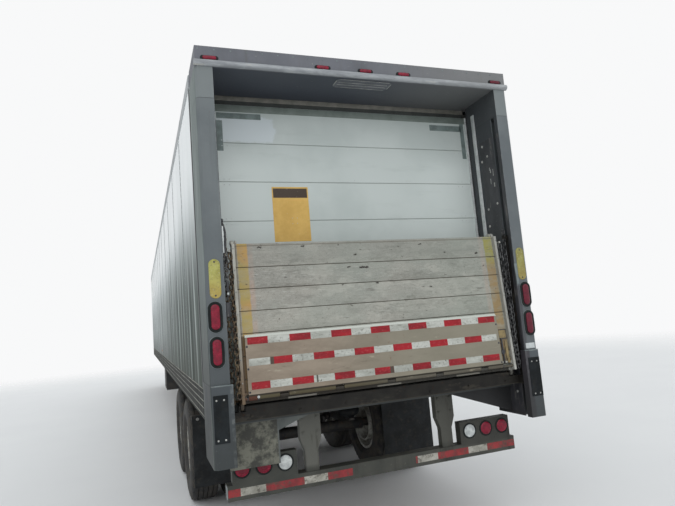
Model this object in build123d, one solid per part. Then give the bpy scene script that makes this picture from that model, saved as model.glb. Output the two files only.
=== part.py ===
from build123d import *
import os

# A box semi trailer with a rail lift gate at the rear. Millimetres, +Z up, +Y towards the tractor.
# Every shape below is drawn with y counted forwards from the rear face of the rear posts,
# and export() then moves it so that the origin is on the ground, midway between the ends.

# Overall sizes
trailer_length = 16154.0     # rear face of the posts to the front wall
trailer_width = 2590.8
roof_z = 3680.0
floor_z = 1190.0

# Body shell
wall_thick = 38.0
panel_pitch = 1219.0
seam_width = 60.0
seam_out = 3.0
roof_thick = 30.0
corner_radius = 150.0
floor_thick = 35.0
rail_below_floor = 100.0
rail_above_floor = 115.0
rail_thick = 8.0
rail_shelf = 40.0
top_rail_height = 120.0
member_height = 100.0
member_flange = 57.0
member_web = 5.0
member_pitch = 305.0

# Rear frame
post_inner_x = 1166.0
post_depth = 430.0
post_wall = 8.0
post_bottom_z = 833.0
post_chamfer = 22.0
post_seam_z = 3300.0
seam_groove = 1.5
sleeve_top_z = 1352.0
sleeve_out = 3.0             # the sleeve stands this far out of the post's side
sleeve_back = 18.0           # and this far out of its rear face
sleeve_inner_x = 1150.0
header_z = 3531.0
header_depth = 480.0
lip_radius = 24.0
sill_y = 216.0
sill_depth = 110.0
sill_height = 130.0
column_depth = 114.0         # chamber that the lift runner slides in
column_below_header = 230.0
fascia_in = 10.0
fascia_wall = 40.0
gusset_in = 24.0
slot_y0 = 42.0
slot_y1 = 88.0
door_y = 452.0
door_thick = 28.0
door_top_z = 3450.0
section_height = 311.0
section_gap = 1.0

# Lift gate, drawn upright and then leaned towards the door, with its heights taken from the floor
fold_y = 110.0               # axis that the main platform folds about
fold_below_floor = 5.0
lean = 3.8
pack_half = 1090.0
side_thick = 20.0
side_deep = 50.0
plank_thick = 28.0
plank_pitch = 152.4
plank_count = 7
groove = 4.0
pack_height = 1086.0
flip_y = 27.0
flip_low = 15.0
pack_gap = 8.0
axis_above = 26.0            # flip axis above the top of the planks
ramp_axis_above = 46.0
ramp_top_above = 466.0
ramp_thick = 14.0
ramp_left = 1043.0           # the ramp is set off to the left, as in use
ramp_right = 972.0
ramp_tube = 14.0
move_gap = 5.0
pin_play = 0.3
fold_pin = 12.0
flip_pin = 10.0
ramp_pin = 9.0
runner_height = 1100.0
slide_play = 0.5
bar_y0 = 96.0
bar_y1 = 146.0
bar_below_floor = 98.0
bar_height = 62.0
skirt_y = 97.0               # face of the crossbar that stands up behind the hinge
skirt_below_floor = 3.0
skirt_thick = 4.0
bar_wall = 6.0
bar_half = 1148.0
hinge_leaves = 5             # knuckles of the ramp's hinge
knuckle_pitch = 400.0
knuckle_half = 30.0
knuckle_gap = 3.0
chain_width = 28.0
chain_wire = 8.0
hanging_x = 1143.0           # chain that hangs from the runner
returning_x = 1110.0         # chain that goes back up to the platform, in front of its side rail
returning_y = 18.0
chain_low = 10.0
eye_radius = 8.0             # eye on the platform that the returning chain hangs from
threshold_half = 1060.0      # half the length of the plates behind the hinge

# Running gear
tyre_radius = 510.0
rim_radius = 286.0
tyre_width = 279.0
bead_half = 100.0
dual_pitch = 330.0
track_half = 984.0
rear_axle_y = 2490.0
axle_spacing = 1245.0
axle_radius = 63.5
spindle_radius = 45.0
axle_half = 690.0
spindle_half = 1165.0
hub_radius = 110.0
drum_radius = 205.0
hand_hole_radius = 16.0
hand_hole_circle = 195.0
hand_hole_count = 10
chamber_radius = 80.0
chamber_length = 190.0
chamber_x = 240.0
tank_radius = 115.0
tank_half = 330.0
tank_y = 6600.0
lock_hole_radius = 16.0
lock_hole_pitch = 152.4
slide_x = 430.0
slide_half = 35.0
bogie_half = 50.0
slide_height = 80.0
slide_y0 = 1200.0
slide_y1 = 6200.0
slide_web = 10.0
bogie_height = 115.0
arm_half = 30.0
arm_pin = 18.0
hanger_ahead = 520.0
hanger_low_z = 560.0
spring_behind = 300.0
spring_radius = 120.0
spring_seat_radius = 60.0
flap_x = 690.0
flap_low_z = 260.0
flap_thick = 8.0

# Front end and stands
kingpin_back = 914.0
kingpin_radius = 36.5
kingpin_flange = 75.0
plate_thick = 10.0
coupler_length = 1700.0
coupler_half = 600.0
leg_back = 2650.0
leg_x = 640.0
leg_outer = 128.0
leg_inner = 108.0
leg_tube_z = 380.0
foot_size = 254.0
foot_thick = 14.0
brace_low_z = 520.0
brace_length = 960.0
tie_z = 640.0
crank_z = 860.0
crank_radius = 14.0
crank_reach = 300.0

# Rear details
bumper_depth = 6.0
bumper_x0 = 1180.0
bumper_x1 = 1275.0
bumper_z0 = 993.0
bumper_z1 = 1295.0
connection_depth = 84.0
connection_z0 = 1500.0
connection_z1 = 1640.0
connection_half = 160.0
coupling_x = 90.0
coupling_radius = 32.0
lamp_x = 1238.0
lamp_low_z = 1565.0
lamp_high_z = 1794.0
lamp_step = 8.0              # how far the lamp rings and lenses stand out
marker_z = 3593.0
marker_xs = (-1185.0, -360.0, -6.0, 325.0, 1185.0)
marker_out = 14.0
guard_y = 306.0
guard_x = 562.0
guard_bar_z0 = 540.0
guard_bar_z1 = 645.0
guard_bar_half = 1180.0
guard_bar_depth = 100.0
guard_bar_out = 10.0         # the bar stands this far behind its uprights
guard_top_half = 80.0
guard_low_half = 49.0
guard_wide_z = 875.0
guard_narrow_z = 790.0
box_x0 = 678.0
box_x1 = 1144.0
box_z1 = 816.0
box_sheet = 4.0
box_lamp_xs = (766.0, 920.0, 1074.0)
box_lamp_z = 741.0
box_lamp_radius = 49.0
box_lamp_out = 10.0
grommet_size = (203.0, 96.0)
lens_size = (165.0, 57.0)
marker_size = (90.0, 26.0)
pump_box_x0 = -1250.0
pump_box_x1 = -700.0
pump_box_y0 = 7700.0
pump_box_y1 = 8400.0
pump_box_z0 = 640.0
gusset_thick = 10.0
splash_x = 816.0
splash_low_z = 760.0

# Worked out from the sizes above
total_length = lip_radius + trailer_length + connection_depth
rear_y = lip_radius - total_length / 2
half_width = trailer_width / 2
post_outer_x = half_width - sleeve_out
body_x = half_width - seam_out
inner_x = body_x - wall_thick
member_top_z = floor_z - floor_thick
member_bottom_z = member_top_z - member_height
wall_front_y = trailer_length - corner_radius
kingpin_y = trailer_length - kingpin_back
leg_y = kingpin_y - leg_back
main_y = flip_y + side_deep + pack_gap
flip_deck_y = flip_y + side_deep - plank_thick
flip_axis_y = flip_y + side_deep + pack_gap / 2
fold_z = floor_z - fold_below_floor
pack_top_z = floor_z + pack_height
flip_low_z = floor_z + flip_low
ramp_axis_z = floor_z + ramp_axis_above
ramp_top_z = floor_z + ramp_top_above
runner_top_z = floor_z + runner_height
bar_z0 = floor_z - bar_below_floor
bar_z1 = bar_z0 + bar_height
chain_low_z = floor_z + chain_low
flip_axis_z = pack_top_z + axis_above
rail_bottom_z = floor_z - rail_below_floor
rail_top_z = floor_z + rail_above_floor
ramp_y1 = flip_deck_y - move_gap
ramp_axis_y = flip_deck_y - move_gap / 2
side_x = pack_half - side_thick
chamber_x0 = post_inner_x + post_wall
chamber_x1 = post_outer_x - post_wall - 10
sill_low_z = floor_z - sill_height
plate_z = member_bottom_z - plate_thick
bogie_z1 = member_bottom_z - slide_height
bogie_z0 = bogie_z1 - bogie_height


def block(x0, x1, y0, y1, z0, z1):
    centre = Pos((x0 + x1) / 2, (y0 + y1) / 2, (z0 + z1) / 2)
    return centre * Box(x1 - x0, y1 - y0, z1 - z0)


def rod_x(x0, x1, y, z, radius):
    return Pos((x0 + x1) / 2, y, z) * Rot(0, 90, 0) * Cylinder(radius, x1 - x0)


def rod_y(x, y0, y1, z, radius):
    return Pos(x, (y0 + y1) / 2, z) * Rot(90, 0, 0) * Cylinder(radius, y1 - y0)


def rod_z(x, y, z0, z1, radius):
    return Pos(x, y, (z0 + z1) / 2) * Cylinder(radius, z1 - z0)


def plan_prism(points, z0, z1):
    # outline in x and y, raised from z0 to z1
    face = make_face(Polyline(*[(x, y, z0) for x, y in points], close=True))
    return extrude(face, z1 - z0, dir=(0, 0, 1))


def side_prism(points, x0, x1):
    # outline in y and z, drawn out from x0 to x1
    face = make_face(Polyline(*[(x0, y, z) for y, z in points], close=True))
    return extrude(face, x1 - x0, dir=(1, 0, 0))


def rear_prism(points, y0, y1):
    # outline in x and z, drawn out from y0 to y1
    face = make_face(Polyline(*[(x, y0, z) for x, z in points], close=True))
    return extrude(face, y1 - y0, dir=(0, 1, 0))


def turned(points, y, z):
    # outline in x and radius, revolved about a line along x at y, z
    face = make_face(Polyline(*[(x, y, z + r) for x, r in points], close=True))
    return revolve(face, Axis((0, y, z), (1, 0, 0)))


def other_side(shape):
    return mirror(shape, about=Plane.YZ)


def both_sides(shape):
    return [shape, other_side(shape)]


def leaned(shape):
    return shape.rotate(Axis((0, fold_y, fold_z), (1, 0, 0)), -lean)


def export(name, *shapes):
    placed = [solid.moved(Location((0, rear_y, 0))) for shape in shapes for solid in shape.solids()]
    export_step(Compound(children=placed, label=name), "parts/" + name + ".step")


os.makedirs("parts", exist_ok=True)

# Body shell


def side_wall():
    z1 = roof_z - top_rail_height
    wall = block(inner_x, body_x, post_depth, wall_front_y, rail_top_z, z1)
    y = post_depth + panel_pitch
    while y < wall_front_y - seam_width:
        wall += block(body_x - 1, half_width, y - seam_width / 2, y + seam_width / 2, rail_top_z, z1)
        y += panel_pitch
    return wall


right_wall = side_wall()
export("side_wall_right", right_wall)
export("side_wall_left", other_side(right_wall))

web_x = half_width - rail_thick
shelf_z = floor_z + rail_shelf
bottom_rail = rear_prism([
    (half_width, rail_bottom_z), (half_width, rail_top_z), (inner_x, rail_top_z), (inner_x, shelf_z),
    (web_x, shelf_z), (web_x, rail_bottom_z + rail_thick), (inner_x, rail_bottom_z + rail_thick),
    (inner_x, rail_bottom_z)], post_depth, wall_front_y)
export("bottom_rails", *both_sides(bottom_rail))

top_rail = rear_prism([
    (half_width, roof_z - top_rail_height), (half_width, roof_z - 25), (half_width - 25, roof_z),
    (inner_x, roof_z), (inner_x, roof_z - top_rail_height)], post_depth, wall_front_y)
export("top_rails", *both_sides(top_rail))

export("roof_panel", block(-inner_x, inner_x, header_depth, wall_front_y, roof_z - roof_thick, roof_z))


def nose_outline(inset):
    # rounded front end, closed by a straight line across where the side walls stop
    x = half_width - corner_radius
    radius = corner_radius - inset
    right = CenterArc((x, wall_front_y), radius, 0, 90)
    left = CenterArc((-x, wall_front_y), radius, 90, 90)
    return make_face([right, Line(right @ 1, left @ 0), left, Line(left @ 1, right @ 0)])


nose = extrude(nose_outline(0), roof_z - rail_bottom_z, dir=(0, 0, 1))
nose -= extrude(nose_outline(wall_thick), roof_z - roof_thick - rail_bottom_z, dir=(0, 0, 1))
export("front_wall", Pos(0, 0, rail_bottom_z) * nose)

deck = block(-inner_x, inner_x, post_depth, wall_front_y, member_top_z, floor_z)
deck += block(-post_inner_x, post_inner_x, sill_y + sill_depth, post_depth, member_top_z, floor_z)
deck += Pos(0, 0, member_top_z) * extrude(nose_outline(wall_thick), floor_thick, dir=(0, 0, 1))
export("floor_deck", deck)


def cross_member(y):
    f = member_flange / 2
    w = member_web / 2
    z0 = member_bottom_z
    z1 = member_top_z
    t = member_web
    return side_prism([
        (y - f, z0), (y + f, z0), (y + f, z0 + t), (y + w, z0 + t), (y + w, z1 - t), (y + f, z1 - t),
        (y + f, z1), (y - f, z1), (y - f, z1 - t), (y - w, z1 - t), (y - w, z0 + t), (y - f, z0 + t)],
        -inner_x, inner_x)


member_first_y = sill_y + sill_depth + 160
coupler_rear_y = trailer_length - coupler_length
member_count = int((coupler_rear_y - 60 - member_first_y) / member_pitch) + 1
export("crossmembers", *[cross_member(member_first_y + n * member_pitch) for n in range(member_count)])

# Rear frame


def post_outline(inner, outer, rear):
    c = post_chamfer
    return [(inner, rear), (outer - c, rear), (outer, rear + c), (outer, post_depth),
            (post_inner_x, post_depth)]


sleeve_corners = [(post_inner_x, slot_y0 - 2), (sleeve_inner_x, slot_y0 - 2)]
sleeve_outline = post_outline(sleeve_inner_x, half_width, -sleeve_back) + sleeve_corners
post = plan_prism(post_outline(post_inner_x, post_outer_x, 0), post_bottom_z, header_z)
post += plan_prism(sleeve_outline, post_bottom_z, sleeve_top_z)
column_top_z = header_z - column_below_header
post -= block(chamber_x0, chamber_x1, post_wall, post_wall + column_depth, post_bottom_z - 1, column_top_z)
post -= block(post_inner_x - 1, chamber_x0 + 1, slot_y0, slot_y1, post_bottom_z - 1, column_top_z)
post -= block(chamber_x0, post_outer_x - post_wall, 2 * post_wall + column_depth, post_depth - post_wall,
              post_bottom_z - 1, header_z - post_wall)
post -= block(post_inner_x - 1, half_width, -1, seam_groove, post_seam_z, post_seam_z + 3)
post -= block(post_outer_x - seam_groove, half_width, -1, post_depth + 1, post_seam_z, post_seam_z + 3)
export("rear_post_right", post)
export("rear_post_left", other_side(post))

fascia_x = half_width - fascia_in
header = block(-fascia_x, fascia_x, 0, post_depth, header_z, roof_z)
header += block(-inner_x, inner_x, post_depth, header_depth, header_z, roof_z)
header -= block(-fascia_x + fascia_wall, fascia_x - fascia_wall, post_wall, header_depth - post_wall,
                header_z + post_wall, roof_z - post_wall)
header += rod_x(-half_width, half_width, 0, header_z + lip_radius, lip_radius)
export("rear_header", header)

sill = block(-post_inner_x, post_inner_x, sill_y, sill_y + sill_depth, sill_low_z, floor_z)
sill -= block(-post_inner_x - 1, post_inner_x + 1, sill_y + post_wall, sill_y + sill_depth - post_wall,
              sill_low_z + post_wall, floor_z - post_wall)
gusset_y = sill_y + gusset_in
gusset = rear_prism([(guard_x + 10, sill_low_z + 1), (post_inner_x, sill_low_z + 1),
                     (post_inner_x, post_bottom_z + 20)], gusset_y, gusset_y + gusset_thick)
for shape in both_sides(gusset):
    sill += shape
sill += block(-post_inner_x, -splash_x, sill_y, sill_y + box_sheet, splash_low_z, sill_low_z + 1)
export("rear_sill", sill)

door_half = post_inner_x - 8
sections = []
z = door_top_z
while z > floor_z + 20:
    low = max(z - section_height + section_gap, floor_z + 1)
    sections.append(block(-door_half, door_half, door_y, door_y + door_thick, low, z))
    z -= section_height
export("roll_up_door", *sections)

track = block(door_half - 20, post_inner_x + 30, door_y + door_thick + 0.5, door_y + door_thick + 50,
              floor_z, header_z - 20)
export("door_tracks", *both_sides(track))

# Lift carriage: two runners in the posts, joined by a bar that carries the platform

runner_y0 = post_wall + slide_play
runner_y1 = post_wall + column_depth - slide_play
runner = block(chamber_x0 + 5, chamber_x1 - 5, post_wall + 5, post_wall + column_depth - 5,
               bar_z0, runner_top_z)
for z0 in (bar_z0, runner_top_z - 120):
    runner += block(chamber_x0 + slide_play, chamber_x1 - slide_play, runner_y0, runner_y1, z0, z0 + 120)
runner += block(bar_half + 12, chamber_x0 + 6, slot_y0 + 6, slot_y1 - 6, bar_z0, runner_top_z)
runner += block(bar_half, bar_half + 12, slot_y0 + 6, bar_y1, bar_z0, bar_z1)
runner += block(hanging_x - 8, bar_half + 13, slot_y0 + 8, slot_y1 - 8, runner_top_z - 28, runner_top_z)
export("lift_runners", *both_sides(runner))

bar = block(-bar_half, bar_half, bar_y0, bar_y1, bar_z0, bar_z1)
bar -= block(-bar_half - 1, bar_half + 1, bar_y0 + bar_wall, bar_y1 - bar_wall,
             bar_z0 + bar_wall, bar_z1 - bar_wall)
bar += block(-threshold_half, threshold_half, 120, sill_y - 8, floor_z - 12, floor_z - 2)
bar += block(-threshold_half, threshold_half, skirt_y, skirt_y + skirt_thick,
             bar_z1 - 6, floor_z - skirt_below_floor)
for x in (-900, -450, 0, 450, 900):
    bar += side_prism([(128, bar_z1 - 3), (128, floor_z - 11), (sill_y - 14, floor_z - 11),
                       (bar_y1, bar_z0 + 20), (bar_y1 - 3, bar_z0 + 20), (bar_y1 - 3, bar_z1 - 3)],
                      x - 5, x + 5)
lug = rod_x(pack_half + 5, pack_half + 16, fold_y, fold_z, 22)
lug += block(pack_half + 5, pack_half + 16, bar_y0, fold_y + 22, bar_z1 - 5, fold_z)
lug += rod_x(side_x - 5, pack_half + 8, fold_y, fold_z, fold_pin)
for shape in both_sides(lug):
    bar += shape
export("lift_crossbar", bar)


def chain_run(x, y, z0, z1):
    w = chain_width / 2
    r = chain_wire / 2
    run = block(x - w, x + w, y - r, y + r, z0, z1)
    return run + block(x - r, x + r, y - w, y + w, z0, z1)


hanging_y = (slot_y0 + slot_y1) / 2
export("hanging_chains", *both_sides(chain_run(hanging_x, hanging_y, chain_low_z, runner_top_z - 28)))

# Platforms and ramp, drawn upright


def planks(y0, groove_y, z0, z1):
    # planks side by side, with a groove between them on the side that is walked on
    deck = block(-side_x, side_x, y0, y0 + plank_thick, z0, z1)
    for n in range(1, plank_count):
        z = pack_top_z - n * plank_pitch
        if z > z0 + 10:
            deck -= block(-side_x - 1, side_x + 1, groove_y - groove, groove_y + groove, z - 2, z + 2)
    return deck


main_low_z = fold_z + 19
main_beam = 22
main_side = block(side_x, pack_half, main_y, main_y + side_deep, fold_z, pack_top_z - 14)
main_side += rod_x(side_x, pack_half, fold_y, fold_z, side_deep / 2)
main_side -= rod_x(side_x - 1, pack_half + 1, fold_y, fold_z, fold_pin + pin_play)
ear = rod_x(side_x - 22, side_x - 8, flip_axis_y, flip_axis_z, 20)
ear += block(side_x - 22, side_x - 8, main_y, main_y + plank_thick, pack_top_z - 5, flip_axis_z + 5)
eye_z = pack_top_z - 40
eye = rod_x(pack_half - 1, returning_x + eye_radius, main_y + 15, eye_z, eye_radius)
eye += rod_y(returning_x, returning_y - 6, main_y + 15, eye_z, eye_radius)
main_frame = block(-side_x, side_x, main_y, main_y + plank_thick, main_low_z, main_low_z + main_beam)
main_frame += block(-side_x, side_x, main_y, main_y + plank_thick, pack_top_z - main_beam, pack_top_z)
for part in (main_side, ear, eye):
    for shape in both_sides(part):
        main_frame += shape
for shape in both_sides(rod_x(side_x - 22, pack_half + 4, flip_axis_y, flip_axis_z, flip_pin)):
    main_frame += shape
export("main_platform_frame", leaned(main_frame))

main_deck = planks(main_y, main_y + plank_thick, main_low_z + main_beam, pack_top_z - main_beam)
export("main_platform_planks", leaned(main_deck))
return_run = chain_run(returning_x, returning_y, chain_low_z + 40, eye_z - eye_radius)
export("returning_chains", *both_sides(leaned(return_run)))

flip_beam_z = ramp_axis_z + ramp_tube + move_gap
flip_side = block(side_x, pack_half, flip_y, flip_y + side_deep, flip_low_z, flip_axis_z - 12)
flip_side += rod_x(side_x, pack_half, flip_axis_y, flip_axis_z, 20)
flip_side += block(side_x, pack_half, flip_axis_y - 20, flip_axis_y - 4, flip_axis_z - 40, flip_axis_z)
flip_side -= rod_x(side_x - 1, pack_half + 1, flip_axis_y, flip_axis_z, flip_pin + pin_play)
flip_side -= rod_x(side_x - 1, pack_half + 1, ramp_axis_y, ramp_axis_z, ramp_pin + pin_play)
flip_frame = block(-side_x, side_x, flip_deck_y, flip_deck_y + plank_thick, flip_beam_z, flip_beam_z + 22)
knuckle_xs = [(n - (hinge_leaves - 1) / 2) * knuckle_pitch for n in range(hinge_leaves)]
for x in knuckle_xs:
    knuckle = rod_x(x - knuckle_half, x + knuckle_half, ramp_axis_y, ramp_axis_z, ramp_tube)
    knuckle += block(x - knuckle_half, x + knuckle_half, flip_deck_y, flip_deck_y + 10,
                     ramp_axis_z, flip_beam_z + 1)
    knuckle -= rod_x(x - knuckle_half - 1, x + knuckle_half + 1, ramp_axis_y, ramp_axis_z,
                     ramp_pin + pin_play)
    flip_frame += knuckle
for shape in both_sides(flip_side):
    flip_frame += shape
export("flip_platform_frame", leaned(flip_frame))
export("flip_platform_planks", leaned(planks(flip_deck_y, flip_deck_y, flip_beam_z + 22, pack_top_z)))

ramp_y0 = ramp_y1 - ramp_thick
ramp = side_prism([(ramp_y0, ramp_axis_z), (ramp_y1, ramp_axis_z), (ramp_y1, ramp_top_z),
                   (ramp_y1 - 3, ramp_top_z), (ramp_y0, ramp_top_z - 16)], -ramp_left, ramp_right)
ramp += rod_x(-ramp_left, ramp_right, ramp_axis_y, ramp_axis_z, ramp_tube)
cut_half = knuckle_half + knuckle_gap
for x in knuckle_xs:
    ramp -= block(x - cut_half, x + cut_half, ramp_y0 - 1, ramp_axis_y + ramp_tube + 1,
                  ramp_axis_z - ramp_tube - 1, ramp_axis_z + ramp_tube + move_gap)
ramp += rod_x(-pack_half - 1, pack_half + 1, ramp_axis_y, ramp_axis_z, ramp_pin)
export("retention_ramp", leaned(ramp))

# Front end: coupler plate, kingpin and landing legs

coupler = block(-coupler_half, coupler_half, coupler_rear_y, wall_front_y, plate_z, member_bottom_z)
coupler -= rod_z(0, kingpin_y, plate_z - 1, member_bottom_z + 1, kingpin_radius + pin_play)
for y in (coupler_rear_y + 40, kingpin_y - 200, kingpin_y + 200, wall_front_y - 90):
    coupler += block(-inner_x, inner_x, y, y + 60, member_bottom_z - 1, member_top_z)
export("coupler_plate", coupler)

pin_profile = [(0, member_bottom_z + 14), (kingpin_flange, member_bottom_z + 14),
               (kingpin_flange, member_bottom_z), (kingpin_radius, member_bottom_z),
               (kingpin_radius, plate_z - 35), (25.4, plate_z - 35), (25.4, plate_z - 70),
               (35.7, plate_z - 70), (35.7, plate_z - 88), (0, plate_z - 88)]
pin_face = make_face(Polyline(*[(r, kingpin_y, z) for r, z in pin_profile], close=True))
export("kingpin", revolve(pin_face, Axis((0, kingpin_y, 0), (0, 0, 1))))


def square(x, y, size, z0, z1):
    return block(x - size / 2, x + size / 2, y - size / 2, y + size / 2, z0, z1)


leg = square(leg_x, leg_y, leg_outer, leg_tube_z, plate_z)
leg += square(leg_x, leg_y, leg_inner, foot_thick - 2, leg_tube_z)
leg += square(leg_x, leg_y, foot_size, 0, foot_thick)
leg += square(leg_x, leg_y, leg_inner + 50, foot_thick, foot_thick * 5)
leg += block(leg_x - 90, leg_x + 90, leg_y - 200, leg_y + 200, plate_z, member_bottom_z)
export("landing_legs", *both_sides(leg))

brace_y = leg_y - leg_outer / 2
brace_end_y = brace_y - brace_length
brace = side_prism([(brace_y, brace_low_z), (brace_y, brace_low_z + 70),
                    (brace_end_y + 340, member_bottom_z - 10), (brace_end_y + 340, member_bottom_z),
                    (brace_end_y, member_bottom_z), (brace_end_y, member_bottom_z - 10),
                    (brace_end_y + 260, member_bottom_z - 10)], leg_x - 25, leg_x + 25)
tie = block(-leg_x + leg_outer / 2, leg_x - leg_outer / 2, leg_y - 25, leg_y + 25, tie_z, tie_z + 50)
export("landing_braces", *both_sides(brace), tie)

leg_face_x = leg_x + leg_outer / 2
handle_x = leg_x + crank_reach
crank = rod_x(-leg_x + leg_outer / 2, leg_x - leg_outer / 2, leg_y, crank_z, crank_radius)
gearbox = block(-leg_face_x - 70, -leg_face_x, leg_y - 60, leg_y + 60, crank_z - 70, crank_z + 70)
gearbox += rod_x(-handle_x, -leg_face_x - 66, leg_y, crank_z, crank_radius)
gearbox += block(-handle_x - 10, -handle_x + 10, leg_y - crank_radius, leg_y + 400,
                 crank_z - crank_radius, crank_z + crank_radius)
export("landing_crank", crank, gearbox)

# Running gear

slide_rail = block(slide_x - slide_half, slide_x - slide_half + slide_web, slide_y0, slide_y1,
                   bogie_z1, member_bottom_z)
slide_rail += block(slide_x - slide_half, slide_x + slide_half, slide_y0, slide_y1,
                    bogie_z1, bogie_z1 + slide_web)
slide_rail += block(slide_x - slide_half, slide_x + slide_half, slide_y0, slide_y1,
                    member_bottom_z - slide_web, member_bottom_z)
lock_hole = rod_x(slide_x - slide_half - 1, slide_x - slide_half + slide_web + 1, slide_y0 + 120,
                  (bogie_z1 + member_bottom_z) / 2, lock_hole_radius)
lock_count = int((slide_y1 - slide_y0 - 240) / lock_hole_pitch) + 1
slide_rail -= [Pos(0, n * lock_hole_pitch, 0) * lock_hole for n in range(lock_count)]
export("slide_rails", *both_sides(slide_rail))

tank_z = member_bottom_z - tank_radius - 40
tank = rod_x(-tank_half, tank_half, tank_y, tank_z, tank_radius)
tank = fillet(tank.edges().filter_by(GeomType.CIRCLE), tank_radius * 0.5)
for x in (-tank_half * 0.6, tank_half * 0.6):
    tank += rod_x(x - 20, x + 20, tank_y, tank_z, tank_radius + 5)
    tank += block(x - 20, x + 20, tank_y - 60, tank_y + 60, tank_z + tank_radius - 30, member_bottom_z)
export("air_tank", tank)

arm_z = tyre_radius + axle_radius
front_axle_y = rear_axle_y + axle_spacing
axle_ys = (rear_axle_y, front_axle_y)
bogie_y0 = rear_axle_y - 700
bogie_y1 = front_axle_y + hanger_ahead + 120
bogie = block(-slide_x, slide_x, bogie_y0 + 60, bogie_y0 + 140, bogie_z0 + 10, bogie_z1 - 10)
for y in (rear_axle_y + hanger_ahead, bogie_y1 - 140):
    bogie += block(-slide_x, slide_x, y, y + 80, bogie_z0 + 10, bogie_z1 - 10)
beam = block(slide_x - bogie_half, slide_x + bogie_half, bogie_y0, bogie_y1, bogie_z0, bogie_z1)
for y in axle_ys:
    for x in (slide_x - bogie_half, slide_x + bogie_half - 12):
        beam += side_prism([(y + hanger_ahead - 110, bogie_z0 + 1), (y + hanger_ahead + 110, bogie_z0 + 1),
                            (y + hanger_ahead + 60, hanger_low_z), (y + hanger_ahead - 60, hanger_low_z)],
                           x, x + 12)
        beam -= rod_x(x - 1, x + 13, y + hanger_ahead, arm_z + 42, arm_pin + pin_play)
for shape in both_sides(beam):
    bogie += shape
export("bogie_frame", bogie)

arms = []
springs = []
axles = []
for y in axle_ys:
    arm_end_y = y - spring_behind - 100
    arm = side_prism([(y + hanger_ahead + 40, arm_z), (y + hanger_ahead + 40, arm_z + 85),
                      (y, arm_z + 110), (arm_end_y, arm_z + 70), (arm_end_y, arm_z + 45), (y - 90, arm_z)],
                     slide_x - arm_half, slide_x + arm_half)
    arm += rod_x(slide_x - bogie_half - 4, slide_x + bogie_half + 4, y + hanger_ahead, arm_z + 42, arm_pin)
    arms += both_sides(arm)
    spring = rod_z(slide_x, y - spring_behind, arm_z + 85, bogie_z0, spring_radius)
    spring += rod_z(slide_x, y - spring_behind, arm_z + 60, arm_z + 90, spring_seat_radius)
    springs += both_sides(spring - arm)
    axle = rod_x(-axle_half, axle_half, y, tyre_radius, axle_radius)
    axle += rod_x(-spindle_half, spindle_half, y, tyre_radius, spindle_radius)
    chamber = rod_y(chamber_x, y + 130, y + 130 + chamber_length, arm_z + 30, chamber_radius)
    chamber = fillet(chamber.edges().filter_by(GeomType.CIRCLE), chamber_radius * 0.35)
    chamber += rod_y(chamber_x, y + 205, y + 217, arm_z + 30, chamber_radius + 9)
    chamber += block(chamber_x - 10, chamber_x + 10, y, y + 140, tyre_radius + 20, arm_z + 60)
    for shape in both_sides(chamber):
        axle += shape
    axles.append(axle)
export("suspension_arms", *arms)
export("air_springs", *springs)
export("axles", *axles)

half_tyre = tyre_width / 2
tyre_side = [(bead_half, rim_radius), (bead_half, rim_radius + 14), (half_tyre - 12, rim_radius + 40),
             (half_tyre, rim_radius + 110), (half_tyre - 14, tyre_radius - 30),
             (half_tyre - 30, tyre_radius - 5), (half_tyre - 45, tyre_radius)]
tyre_profile = [(-dx, r) for dx, r in tyre_side] + tyre_side[::-1]
bead_x0 = dual_pitch / 2 - bead_half
bead_x1 = dual_pitch / 2 + bead_half
disc_profile = [(0, hub_radius), (12, hub_radius), (12, 215), (56, 272), (bead_x1 + 6, 272),
                (bead_x1 + 6, rim_radius + 12), (bead_x1, rim_radius + 12), (bead_x1, rim_radius),
                (bead_x0, rim_radius), (bead_x0, rim_radius + 12), (bead_x0 - 6, rim_radius + 12), (0, 226)]
hub_profile = [(-124, spindle_radius + pin_play), (196, spindle_radius + pin_play), (196, 20), (206, 20),
               (206, 70), (180, 80), (100, 84), (96, hub_radius), (0, hub_radius), (0, 168), (-14, 168),
               (-14, 180), (-84, drum_radius), (-284, drum_radius), (-284, drum_radius - 14),
               (-96, drum_radius - 14), (-96, hub_radius), (-124, hub_radius - 20)]


def wheel_end(name, side, y):
    tyres = []
    for x in (track_half - dual_pitch / 2, track_half + dual_pitch / 2):
        tyres.append(turned([(x + dx, r) for dx, r in tyre_profile], y, tyre_radius))
    wheels = turned([(track_half + dx, r) for dx, r in disc_profile], y, tyre_radius)
    wheels += turned([(track_half - dx, r) for dx, r in disc_profile], y, tyre_radius)
    hand_hole = rod_x(track_half - 13, track_half + 13, y + hand_hole_circle, tyre_radius, hand_hole_radius)
    hub_line = Axis((0, y, tyre_radius), (1, 0, 0))
    wheels -= [hand_hole.rotate(hub_line, n * 360 / hand_hole_count) for n in range(hand_hole_count)]
    wheels += turned([(track_half + dx, r) for dx, r in hub_profile], y, tyre_radius)
    if side < 0:
        tyres = [other_side(tyre) for tyre in tyres]
        wheels = other_side(wheels)
    export(name + "_tyres", *tyres)
    export(name + "_wheels", wheels)


for name, side, y in (("rear_left", -1, rear_axle_y), ("rear_right", 1, rear_axle_y),
                      ("front_left", -1, front_axle_y), ("front_right", 1, front_axle_y)):
    wheel_end(name, side, y)

flap_y = rear_axle_y - tyre_radius - 110
flap_z = bogie_z0 + 20
flap_hanger = block(slide_x + bogie_half, half_width - 20, flap_y, flap_y + 40, flap_z, flap_z + 40)
export("mud_flap_hangers", *both_sides(flap_hanger))
mud_flap = block(flap_x, half_width - 25, flap_y - flap_thick, flap_y, flap_low_z, flap_z + 35)
export("mud_flaps", *both_sides(mud_flap))

# Rear details

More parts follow.
